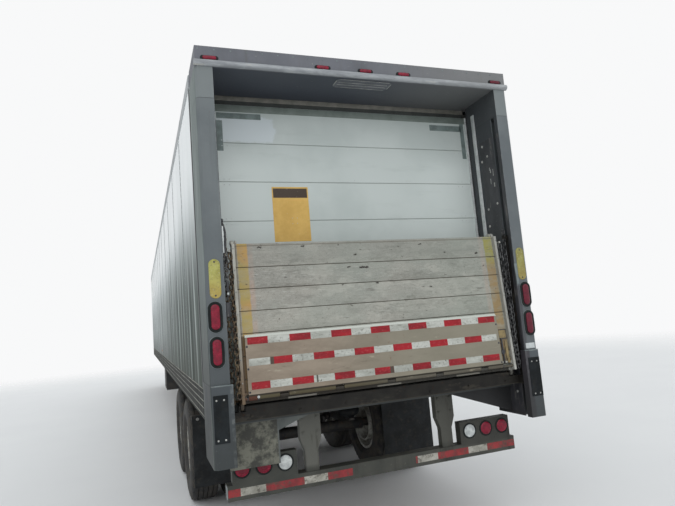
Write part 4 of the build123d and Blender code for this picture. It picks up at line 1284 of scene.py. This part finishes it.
boxPlan = {"face": -7.811, "lampXs": (0.766, 0.920, 1.074), "lampZ": 0.741,
           "screwXs": (0.692, 0.843, 0.997, 1.13), "screwZs": (0.664, 0.8)}
boxSpots = spread(bothWays(*boxPlan["lampXs"]), boxPlan["face"], [boxPlan["lampZ"]])
roundGrommets = scatter(makeRoundGrommet(), boxSpots)
handOver(weld([grommetRings, roundGrommets]), "lampGrommetRings", grommetFinish,
         replaced=["lamp_grommets"])
redRounds = scatter(makeRoundLens(), [spot for spot in boxSpots if abs(spot[0][0]) > 0.8])
clearRounds = scatter(makeRoundLens(), [spot for spot in boxSpots if abs(spot[0][0]) < 0.8])
markerPlan = {"xs": (-1.185, -0.35, -0.002, 0.325, 1.185), "z": 3.5935}


def makeMarkerLens():
    return raiseRings(makeOval(0.096, 0.026, 0.008, 24), ((0.0012, 0.002), (0.003, 0.0018)))


def makeMarkerBase():
    return soften(makeOval(0.126, 0.034, 0.006, 24), 0.0015, 1)


markerSpots = spread(markerPlan["xs"], rearY - 0.0055, [markerPlan["z"]], across)
markerBases = scatter(makeMarkerBase(), spread(markerPlan["xs"], rearY - 0.002, [markerPlan["z"]], across))
handOver(markerBases, "markerLampBases", grommetFinish)
handOver(weld([tailLenses, redRounds, scatter(makeMarkerLens(), markerSpots)]), "redLenses",
         redLensFinish, replaced=["lamp_lenses"])
handOver(clearRounds, "clearLenses", clearLensFinish)

# oval plates with a raised rim, left blank
badgePlan = {"x": 1.228, "z": 2.046, "size": (0.262, 0.076), "screw": 0.112,
             "rises": ((0.0015, 0.0014), (0.0045, 0), (0.0012, -0.0014))}
badge = raiseRings(soften(makeOval(*badgePlan["size"], 0.003, 40), 0.0008, 1), badgePlan["rises"])
badgeXs = bothWays(badgePlan["x"])
badges = scatter(badge, spread(badgeXs, rearY - 0.0015, [badgePlan["z"]]))
handOver(badges, "sideBadges", badgeFinish)
screwZs = [badgePlan["z"] + shift for shift in bothWays(badgePlan["screw"])]
badgeScrews = spread(badgeXs, rearY - 0.003, screwZs, toRear)
handOver(scatter(makeRivet(0.0066, 0.002, 12), badgeScrews), "badgeScrews", columnFinish)

bumperPlan = {"left": (-1.283, -1.188), "right": (1.172, 1.277), "low": 0.993, "high": 1.293, "face": -8.1288,
              "boltXs": (-1.262, -1.214, 1.202, 1.25), "boltZs": (1.013, 1.262)}


def makeBumper(x0, x1):
    pad = addBox((x0, bumperPlan["face"], bumperPlan["low"]), (x1, -8.1245, bumperPlan["high"]), 0.0015)
    sinkPanel(pad, lambda face: face.normal.y < -0.9 and face.area > 0.01, 0.006, 0.0012)
    return pad


pads = weld([makeBumper(*bumperPlan["left"]), makeBumper(*bumperPlan["right"])])
handOver(pads, "bumperPads", bumperFinish, replaced=["dock_bumpers"])
padBolts = spread(bumperPlan["boltXs"], bumperPlan["face"] + 0.0008, bumperPlan["boltZs"], toRear)
handOver(scatter(makeRivet(0.0062, 0.0024, 12), padBolts), "bumperBolts", brightFinish)

# a brim of weld along the top of each sleeve
sleeveBrims = bothSides(addBox((1.15, -8.1262, 1.3485), (1.274, -8.108, 1.3535), 0.002))
handOver(sleeveBrims, "sleeveBrims", rimFinish)

columnPlan = {"inner": 1.163, "outer": 1.166, "low": 0.86, "top": 3.15,
              "front": (-8.1, -8.0665), "back": (-8.016, -7.828),
              "bolts": ((-7.925, 3.004), (-7.845, 2.978), (-7.868, 3.107), (-7.86, 2.55), (-7.99, 2.575),
                        (-7.85, 2.404), (-7.93, 2.12), (-7.9, 1.9), (-7.97, 1.62), (-7.9, 1.3),
                        (-7.96, 1.02)),
              "scrapes": (2.87, 2.84, 2.8, 2.77, 2.74, 2.1, 1.84)}


def makeColumnPlates():
    x0, x1, low, top = [columnPlan[key] for key in ("inner", "outer", "low", "top")]
    plates = [addBox((x0, y0, low), (x1, y1, top), 0.001, 1)
              for y0, y1 in (columnPlan["front"], columnPlan["back"])]
    return bothSides(weld(plates))


handOver(makeColumnPlates(), "columnPlates", columnFinish)
boltSpots = [((side * columnPlan["inner"], y, z), toSide(-side)) for side in (-1, 1)
             for y, z in columnPlan["bolts"]]
handOver(scatter(makeBolt(0.0072, 0.006), boltSpots), "columnBolts", brightFinish)


def makeWornMarks():
    # bright scrapes on the column plates, where the chains rub
    marks = []
    for side in (-1, 1):
        x = side * (columnPlan["inner"] - 0.0003)
        for base in columnPlan["scrapes"]:
            y = random.uniform(-8.005, -7.93)
            z = base + random.uniform(-0.02, 0.02)
            far, top = y + random.uniform(0.004, 0.012), z + random.uniform(0.015, 0.06)
            marks.append(addBox((x - 0.0004, y, z), (x + 0.0004, far, top)))
    return weld(marks)


handOver(makeWornMarks(), "columnScrapes", brightFinish)

sealPlan = {"post": ((1.157, -7.797, 1.2), (1.1655, -7.752, 3.43)), "low": 1.195, "high": 3.42, "top": 3.45,
            "inner": (1.144, 1.152), "outer": 1.1655, "ys": (-7.668, -7.6565), "piece": (0.05, 0.12)}


def makeDoorSeal():
    # the seal on the post, and the torn one at the edge of the door
    parts = [addBox(*sealPlan["post"], 0.003)]
    rear, front = sealPlan["ys"]
    z = sealPlan["low"]
    while z < sealPlan["high"]:
        high = random.uniform(*sealPlan["piece"])
        inner = random.uniform(*sealPlan["inner"])
        top = min(z + high, sealPlan["top"])
        parts.append(addBox((inner, rear, z), (sealPlan["outer"], front, top), 0.002, 1))
        z += high
    return weld(parts)


handOver(bothSides(makeDoorSeal()), "doorSeals", whiteBitFinish)

latchPlan = {"hook": ((-1.165, -8.09, 2.44), (-1.152, -8.091, 2.405), (-1.1425, -8.091, 2.362),
                      (-1.1435, -8.09, 2.29), (-1.148, -8.089, 2.215)),
             "boss": (-1.1665, -8.09, 2.44), "stem": ((-1.146, -8.088, 1.9), (-1.146, -8.088, 1.96)),
             "catch": ((-1.152, -8.094, 1.955), (-1.136, -8.078, 2.03)),
             "block": ((-1.1635, -8.104, 1.79), (-1.134, -8.084, 1.885)),
             "strip": ((-1.1645, -8.103, 2.217), (-1.1545, -8.094, 2.4)),
             "chip": ((-1.15, -8.0965, 1.936), (-1.138, -8.0935, 1.95))}


def makeLatch():
    # a hook rod on the left post, the catch below its chain and the block under that
    hook, boss = latchPlan["hook"], [(0, 0.012), (0.003, 0.014), (0.012, 0.014), (0.016, 0.01)]
    parts = [addRod(start, end, 0.0072, 10) for start, end in zip(hook, hook[1:])]
    parts.append(turnOn(boss, latchPlan["boss"], (1, 0, 0), 18))
    return weld(parts + [addBox(*latchPlan["catch"], 0.003), addBox(*latchPlan["block"], 0.004),
                         addRod(*latchPlan["stem"], 0.005, 10)])


handOver(makeLatch(), "doorLatch", columnFinish)
whiteBits = weld([addBox(*latchPlan["strip"], 0.0018), addBox(*latchPlan["chip"], 0.001)])
handOver(whiteBits, "latchStrip", whiteBitFinish)
handOver(hangChain(holdingPlan, -1), "holdingChain", darkChainFinish, smooth=60)

labelPlan = {"low": (1.181, -8.1078, 1.364), "high": (1.266, -8.1068, 1.406)}
postLabel = addBox(labelPlan["low"], labelPlan["high"], 0.0003, 1)
handOver(postLabel, "postLabel", labelFinish)

bracketPlan = {"plate": ((1.16, -8.111, 1.88), (1.188, -8.106, 2.05)), "cut": (0.009, 0, 0.004),
               "pins": ([1.175], -8.111, (1.925, 2.015))}


def makePostBracket():
    # the rounded bracket on the inner corner of the right post
    plate = addBox(*bracketPlan["plate"])
    pickPoints(plate, lambda co: co.z < 1.9 and co.x < 1.17)
    bpy.ops.transform.translate(value=bracketPlan["cut"])
    closeEdit()
    soften(plate, 0.0018, 2)
    pins = scatter(makeRivet(0.006, 0.003, 12), spread(*bracketPlan["pins"], toRear))
    return weld([plate, pins])


handOver(makePostBracket(), "postBracket", rimFinish)
print("rear posts are fitted out")


# Door: blank sign, tapes, top strips, catch, rivets and the plate under the header

doorPlan = {"face": -7.655, "sign": ((-0.693, -7.6562, 2.351), (-0.396, -7.6549, 2.791)),
            "tapes": (((-1.093, 3.337), (-0.743, 3.384)), ((-1.102, 3.075), (-1.05, 3.32)),
                      ((0.785, 3.318), (1.108, 3.371)), ((1.097, 3.065), (1.138, 3.4))),
            "rail": ((-1.16, -7.637, 3.492), (1.16, -7.629, 3.5305)),
            "backing": ((-1.16, -7.632, 3.44), (1.16, -7.628, 3.5)),
            "seal": ((-1.155, -7.6585, 3.392), (1.155, -7.655, 3.447)),
            "hinges": (-1.04, -0.52, 0, 0.52, 1.04), "rivets": (0.02, 0.022)}
handOver(addBox(*doorPlan["sign"], 0.0004, 1), "doorSign", signFinish)
doorTapes = [addBox((x0, -7.6558, z0), (x1, -7.6549, z1), 0.0003, 1)
             for (x0, z0), (x1, z1) in doorPlan["tapes"]]
handOver(weld(doorTapes), "doorTapes", greyTapeFinish)
handOver(addBox(*doorPlan["rail"], 0.002), "doorTopRail", railStripFinish)
handOver(addBox(*doorPlan["backing"], 0.001), "doorTopBacking", backingFinish)
handOver(addBox(*doorPlan["seal"], 0.0015), "doorTopSeal", sealFinish)


def makeDoorCatch():
    # lever catch and two pull handles low on the door
    face, grip, z = doorPlan["face"], -7.682, 1.42
    parts = [addBox((-0.12, -7.659, 1.275), (0.12, face, 1.375), 0.0015),
             addBox((-0.012, -7.676, 1.29), (0.012, -7.659, 1.36), 0.003),
             addRod((0, -7.67, 1.325), (0.105, -7.672, 1.345), 0.007, 12, 0.001)]
    for x in (-0.62, 0.62):
        for shift in (-0.07, 0.07):
            parts.append(addRod((x + shift, face, z), (x + shift, grip, z), 0.005, 10))
        parts.append(addRod((x - 0.076, grip, z), (x + 0.076, grip, z), 0.006, 12, 0.002))
    return weld(parts)


handOver(makeDoorCatch(), "doorCatch", steelFinish)
apart, rise = doorPlan["rivets"]
joints = [sectionPlan["top"] - sectionPlan["pitch"] * n for n in range(1, 8)]
rivetXs = [x + shift for x in doorPlan["hinges"] for shift in bothWays(apart)]
rivetZs = [z + shift for z in joints for shift in bothWays(rise)]
doorRivets = scatter(makeRivet(0.0045, 0.0016, 8), spread(rivetXs, doorPlan["face"], rivetZs, toRear))
handOver(doorRivets, "doorRivets", whiteBitFinish)

soffitPlan = {"left": -0.226, "right": 0.24, "front": -8.079, "back": -7.94, "plate": (3.5275, 3.5312),
              "line": (3.5268, 3.528)}


def makeSoffitPlate():
    # a blank plate with rounded corners under the header's lip
    low, high = soffitPlan["plate"]
    plate = addBox((soffitPlan["left"], soffitPlan["front"], low),
                   (soffitPlan["right"], soffitPlan["back"], high))
    openEdit(plate, "EDGE")
    closeEdit()
    for edge in plate.data.edges:
        ends = [plate.data.vertices[index].co for index in edge.vertices]
        edge.select = abs(ends[0].z - ends[1].z) > 0.001
    bpy.ops.object.mode_set(mode="EDIT")
    bpy.ops.mesh.bevel(offset=0.028, segments=6)
    closeEdit()
    sinkPanel(plate, lambda face: face.normal.z < -0.9, 0.005, 0.0015)
    return plate


def makeSoffitLines():
    left, right = soffitPlan["left"] + 0.026, soffitPlan["right"] - 0.026
    front, back = soffitPlan["front"], soffitPlan["back"]
    low, high = soffitPlan["line"]
    lines = [addBox((left, y, low), (right, y + 0.005, high), 0.0004, 1)
             for y in (front + 0.001, front + 0.05, front + 0.088, back - 0.006)]
    lines += [addBox((x, front + 0.027, low), (x + 0.005, back - 0.027, high), 0.0004, 1)
              for x in (soffitPlan["left"] + 0.001, soffitPlan["right"] - 0.006)]
    return weld(lines)


handOver(makeSoffitPlate(), "soffitPlate", blankPlateFinish)
handOver(makeSoffitLines(), "soffitPlateLines", brightFinish)

headerRivets = spread([n * 0.115 for n in range(-11, 12)], rearY, [3.657], toRear)
handOver(scatter(makeRivet(0.006, 0.0022, 10), headerRivets), "headerRivets", rimFinish)
print("door is fitted out")


# Crossbar, underride guard and lamp boxes: bolts, screws, tape and end caps

barBolts = spread(bothWays(0.34, 0.68, 1.02), -8.011, [1.121], toRear)
handOver(scatter(makeBolt(0.008, 0.007), barBolts), "crossbarBolts", carriageFinish,
         body="lift_carriage")

guardXs = [x + shift for x in bothWays(0.562) for shift in bothWays(0.055)]
guardBolts = spread(guardXs, -7.801, (0.92, 1.025), toRear)
handOver(scatter(makeBolt(0.008, 0.008), guardBolts), "guardBolts", guardFinish)
boxScrews = spread(bothWays(*boxPlan["screwXs"]), boxPlan["face"], boxPlan["screwZs"], toRear)
handOver(scatter(makeRivet(0.0055, 0.0022, 8), boxScrews), "boxScrews", guardFinish)
barTapes = bothSides(addBox((0.2628, -7.8117, 0.567), (1.1772, -7.811, 0.618), 0.0003, 1))
handOver(barTapes, "guardTapes", barTapeFinish)
guardEnds = weld([addBox((x - 0.0015, -7.806, 0.548), (x + 0.0015, -7.716, 0.637), 0.001)
                  for x in bothWays(1.1785)])
handOver(guardEnds, "guardEndCaps", rimFinish)
print("crossbar and guard are bolted")


# Side walls and front: rivets, lamps, joints, scuff plate and couplings

wallPlan = {"x": 1.2924, "count": 12, "low": 1.34, "rows": 41, "step": 0.0545, "rivet": (0.0058, 0.0026, 6)}


def makeWallRivets(side):
    # two rows at each joint between panels and one along the top
    spots = []
    for n in range(1, wallPlan["count"] + 1):
        seam = panelPlan["start"] + n * panelPlan["pitch"]
        spots += [(seam + shift, wallPlan["low"] + row * wallPlan["step"]) for row in range(wallPlan["rows"])
                  for shift in (-0.041, 0.041)]
    y = panelPlan["start"] + 0.06
    while y < 7.85:
        spots.append((y, 3.551))
        y += 0.102
    x = side * wallPlan["x"]
    return scatter(makeRivet(*wallPlan["rivet"]), [((x, y, z), toSide(side)) for y, z in spots])


sidePlan = {"x": 1.2928, "lamps": ((0.05, 1.395), (7.75, 1.395), (7.75, 3.515)), "joint": 1.2935}
for side, label in ((-1, "left"), (1, "right")):
    handOver(makeWallRivets(side), label + "WallRivets", wallFinish)
    lamp = raiseRings(makeOval(0.11, 0.032, 0.0016, 20), ((0.003, 0.001),))
    facing = (0, math.pi / 2, side * math.pi / 2)
    lamps = scatter(lamp, [((side * sidePlan["x"], y, z), facing) for y, z in sidePlan["lamps"]])
    handOver(lamps, label + "FrontSideLamps", amberLensFinish)
    joint = side * sidePlan["joint"]
    strip = addBox((joint - 0.0018, -7.6775, 1.31), (joint + 0.0018, -7.6535, 3.555), 0.001, 1)
    handOver(strip, label + "PostJoint", columnFinish)

# a drip edge along the foot of each bottom rail, just inside its face
railLips = bothSides(addBox((1.2475, -7.677, 1.0805), (1.2925, 7.9, 1.0902), 0.0015, 1))
handOver(railLips, "railLips", aluminiumFinish)

frontPlan = {"y": 8.047, "lampXs": (-1.08, -0.15, 0, 0.15, 1.08), "lampZ": 3.61,
             "seams": (-0.9, -0.3, 0.3, 0.9), "low": 1.15, "rows": 46}
frontXs = [x + shift for x in frontPlan["seams"] for shift in (-0.02, 0.02)]
frontZs = [frontPlan["low"] + row * wallPlan["step"] for row in range(frontPlan["rows"])]
frontRivets = scatter(makeRivet(*wallPlan["rivet"]), spread(frontXs, frontPlan["y"], frontZs, toFront))
handOver(frontRivets, "frontRivets", wallFinish)


def frontLampSpots(depth):
    facing = (0, math.pi / 2, math.pi)
    return spread(frontPlan["lampXs"], frontPlan["y"] + depth, [frontPlan["lampZ"]], facing)


frontBases = scatter(makeMarkerBase(), frontLampSpots(0.003))
frontLenses = scatter(makeMarkerLens(), frontLampSpots(0.0065))
handOver(frontBases, "frontLampBases", grommetFinish)
handOver(frontLenses, "frontLamps", amberLensFinish)


def makeScuffPlate():
    # plate across the foot of the front wall, with a row of bolts
    face = frontPlan["y"] + 0.003
    plate = addBox((-1.13, frontPlan["y"] - 0.001, 1.1), (1.13, face, 1.38), 0.001, 1)
    boltXs = [n * 0.2 for n in range(-5, 6)]
    bolts = scatter(makeBolt(0.007, 0.006), spread(boltXs, face, (1.13, 1.35), toFront))
    return weld([plate, bolts])


handOver(makeScuffPlate(), "frontScuffPlate", aluminiumFinish)

couplingPlan = {"xs": (-0.09, 0.09), "y": 8.104, "face": 8.102, "z": 1.56, "screws": (1.515, 1.625)}


def makeCouplings():
    # the two air couplings and the round socket between them
    y, face, z = couplingPlan["y"], couplingPlan["face"], couplingPlan["z"]
    ring = [(0, 0.034), (0, 0.041), (0.008, 0.041), (0.012, 0.036), (0.012, 0.034)]
    socket = [(0, 0.03), (0.018, 0.03), (0.021, 0.026), (0.021, 0.022), (0.012, 0.02)]
    parts = []
    for x in couplingPlan["xs"]:
        parts.append(turnOn(ring, (x, y, z), (0, 1, 0), 24, True))
        parts.append(addBox((x - 0.011, 8.1, 1.588), (x + 0.011, 8.122, 1.612), 0.003))
    parts.append(turnOn(socket, (0, face, z), (0, 1, 0), 24))
    screwSpots = spread(bothWays(0.145), face, couplingPlan["screws"], toFront)
    return weld(parts + [scatter(makeRivet(0.006, 0.003, 10), screwSpots)])


handOver(makeCouplings(), "frontCouplings", columnFinish)
print("sides and front are riveted")


# Running gear, pump box and landing legs

tyrePlan = {"sides": 64, "lugs": 48, "z": 0.51, "ys": {"rear": -5.617, "front": -4.372}, "xs": (0.819, 1.149),
            "middle": 0.984}
# half of the tyre's outline as distance along the axle and radius: bead, side with its raised rings,
# shoulder, and a tread with two grooves
tyreProfile = [(-0.1, 0.2865), (-0.1, 0.3), (-0.108, 0.309), (-0.1255, 0.326), (-0.1335, 0.346),
               (-0.1372, 0.35), (-0.1385, 0.356), (-0.1378, 0.37), (-0.1393, 0.396), (-0.1382, 0.418),
               (-0.1388, 0.424), (-0.1372, 0.43), (-0.131, 0.462), (-0.1255, 0.48), (-0.12, 0.487),
               (-0.117, 0.487), (-0.1145, 0.4975), (-0.1085, 0.504), (-0.094, 0.5088), (-0.0745, 0.5095),
               (-0.0732, 0.497), (-0.0662, 0.497), (-0.065, 0.5097), (-0.0265, 0.5099), (-0.0252, 0.4965),
               (-0.0188, 0.4965), (-0.0175, 0.51)]
tyreProfile += [(-along, radius) for along, radius in reversed(tyreProfile)]


def makeTyre():
    # a turned ring with ribs and grooves, and lugs round both shoulders
    tyre = turnOn(tyreProfile, (0, 0, 0), (1, 0, 0), tyrePlan["sides"], True)
    turns = [(n * 2 * math.pi / tyrePlan["lugs"], 0, 0) for n in range(tyrePlan["lugs"])]
    lug = addBox((0.1, -0.0145, 0.478), (0.1225, 0.0145, 0.5045))
    pickPoints(lug, lambda co: co.x > 0.11 and co.z > 0.49)
    bpy.ops.transform.translate(value=(-0.0045, 0, -0.004))
    closeEdit()
    lugs = bothSides(scatter(lug, [((0, 0, 0), turn) for turn in turns]))
    return weld([tyre, lugs])


def ringSpots(side, out, radius, count):
    angles = [n * 2 * math.pi / count for n in range(count)]
    return [((side * out, radius * math.cos(angle), radius * math.sin(angle)), toSide(side))
            for angle in angles]


def makeWheelNuts(side):
    # ten nuts round the disc, the six bolts of the hub cap, its plug and a valve
    studs = scatter(makeBolt(0.0165, 0.022), ringSpots(side, 0.012, 0.1429, 10))
    ends = scatter(makeBolt(0.006, 0.006, False), ringSpots(side, 0.206, 0.058, 6))
    outline = [(0, 0.034), (0.004, 0.034), (0.006, 0.03), (0.006, 0.016), (0.012, 0.015), (0.0135, 0.012)]
    plug = turnOn(outline, (side * 0.206, 0, 0), (side, 0, 0), 24)
    valve = addRod((side * 0.05, 0.236, 0.02), (side * 0.1, 0.25, 0.02), 0.004, 8)
    return weld([studs, ends, plug, valve])


tyre = makeTyre()
for end, y in tyrePlan["ys"].items():
    for side, label in ((-1, "left"), (1, "right")):
        pair = end + "_" + label
        tyres = [twinOf(tyre, (side * x, y, tyrePlan["z"]), (random.uniform(0, 1), 0, 0))
                 for x in tyrePlan["xs"]]
        handOver(weld(tyres), end + label.title() + "Tyres", tyreFinish,
                 body=pair + "_wheel_pair", replaced=[pair + "_tyres"], smooth=30)
        nuts = makeWheelNuts(side)
        nuts.location = (side * tyrePlan["middle"], y, tyrePlan["z"])
        handOver(settle(nuts), end + label.title() + "Nuts", steelFinish,
                 body=pair + "_wheel_pair")
bpy.data.objects.remove(tyre)

bellowsPlan = {"x": 0.43, "ys": (-5.917, -4.672), "base": 0.655}


def makeBellows():
    # an air spring of two folds on its piston
    return turnOn([(-0.02, 0.056), (0.004, 0.06), (0.01, 0.084), (0.018, 0.106), (0.04, 0.119),
                   (0.066, 0.1195), (0.088, 0.109), (0.098, 0.095), (0.103, 0.095), (0.113, 0.109),
                   (0.135, 0.1195), (0.161, 0.119), (0.183, 0.106), (0.19, 0.1), (0.194, 0.112),
                   (0.2048, 0.112)], (0, 0, 0), (0, 0, 1), 36)


bellowsSpots = [((x, y, bellowsPlan["base"]), level) for x in bothWays(bellowsPlan["x"])
                for y in bellowsPlan["ys"]]
handOver(scatter(makeBellows(), bellowsSpots), "airBellows", rubberFinish,
         replaced=["air_springs"], smooth=40)

# start and end from the axle's line, radius and edge of both halves
shockPlan = (((0.3, 0.06, 0.6), (0.33, 0.19, 0.745), 0.032, 0.004),
             ((0.325, 0.17, 0.72), (0.355, 0.3, 0.865), 0.024, 0.003))


def makeShock(y):
    # a damper between an axle and the slider
    return weld([addRod((x0, y + y0, z0), (x1, y + y1, z1), radius, 20, edge)
                 for (x0, y0, z0), (x1, y1, z1), radius, edge in shockPlan])


dampers = bothSides(weld([makeShock(y) for y in tyrePlan["ys"].values()]))
handOver(dampers, "dampers", chassisFinish)

airPlan = {"lines": ((-0.16, 0.008), (-0.135, 0.008), (-0.105, 0.006)),
           "way": ((7.2, 1.045), (-1.0, 1.045), (-1.3, 1.0), (-1.45, 0.94))}


def makeAirLines():
    # air lines that run along the crossmembers from the front to the tank
    lines = []
    for x, radius in airPlan["lines"]:
        points = [(x, y, z) for y, z in airPlan["way"]]
        lines += [addRod(start, end, radius, 8) for start, end in zip(points, points[1:])]
    return weld(lines)


handOver(makeAirLines(), "airLines", rubberFinish)

flapBolts = spread(bothWays(0.74, 0.86, 0.98, 1.1, 1.22), -6.245, [0.885], toRear)
handOver(scatter(makeBolt(0.01, 0.009), flapBolts), "flapBolts", steelFinish)

pumpPlan = {"door": ((-1.256, -0.385, 0.66), (-1.249, 0.271, 1.035)), "hinge": (-1.257, 1.04),
            "hinges": (-0.26, 0.146), "latch": ((-1.266, -0.1, 0.69), (-1.254, -0.014, 0.73))}


def makeBoxDoor():
    # the pump box's door with its hinges and latch, on the left side
    door = addBox(*pumpPlan["door"], 0.003)
    sinkPanel(door, lambda face: face.normal.x < -0.9 and face.area > 0.1, 0.02, 0.0025)
    latch = addBox(*pumpPlan["latch"], 0.004)
    x, z = pumpPlan["hinge"]
    return weld([door, latch] + [addRod((x, y - 0.04, z), (x, y + 0.04, z), 0.009, 12, 0.001)
                                 for y in pumpPlan["hinges"]])


handOver(makeBoxDoor(), "pumpBoxDoor", chassisFinish)

legPlan = {"x": 0.64, "y": 4.483, "plate": 1.043, "gearbox": (-0.774, 0.86),
           "grip": ((-0.95, 4.87, 0.86), (-1.07, 4.87, 0.86))}


def makeLegDetails():
    # bolts on the leg heads and gearbox, and the grip of the crank
    y = legPlan["y"]
    spots = [((x + dx, y + dy, legPlan["plate"]), (math.pi, 0, 0)) for x in bothWays(legPlan["x"])
             for dx in (-0.078, 0.078) for dy in (-0.17, -0.1, 0.1, 0.17)]
    heads = scatter(makeBolt(0.011, 0.01), spots)
    boxX, boxZ = legPlan["gearbox"]
    lidSpots = [((boxX, y + dy, boxZ + dz), toSide(-1)) for dy in (-0.045, 0.045) for dz in (-0.055, 0.055)]
    lids = scatter(makeBolt(0.007, 0.006), lidSpots)
    grip = addRod(*legPlan["grip"], 0.015, 16, 0.003)
    return weld([heads, lids, grip])


handOver(makeLegDetails(), "legDetails", steelFinish)
print("running gear is fitted")
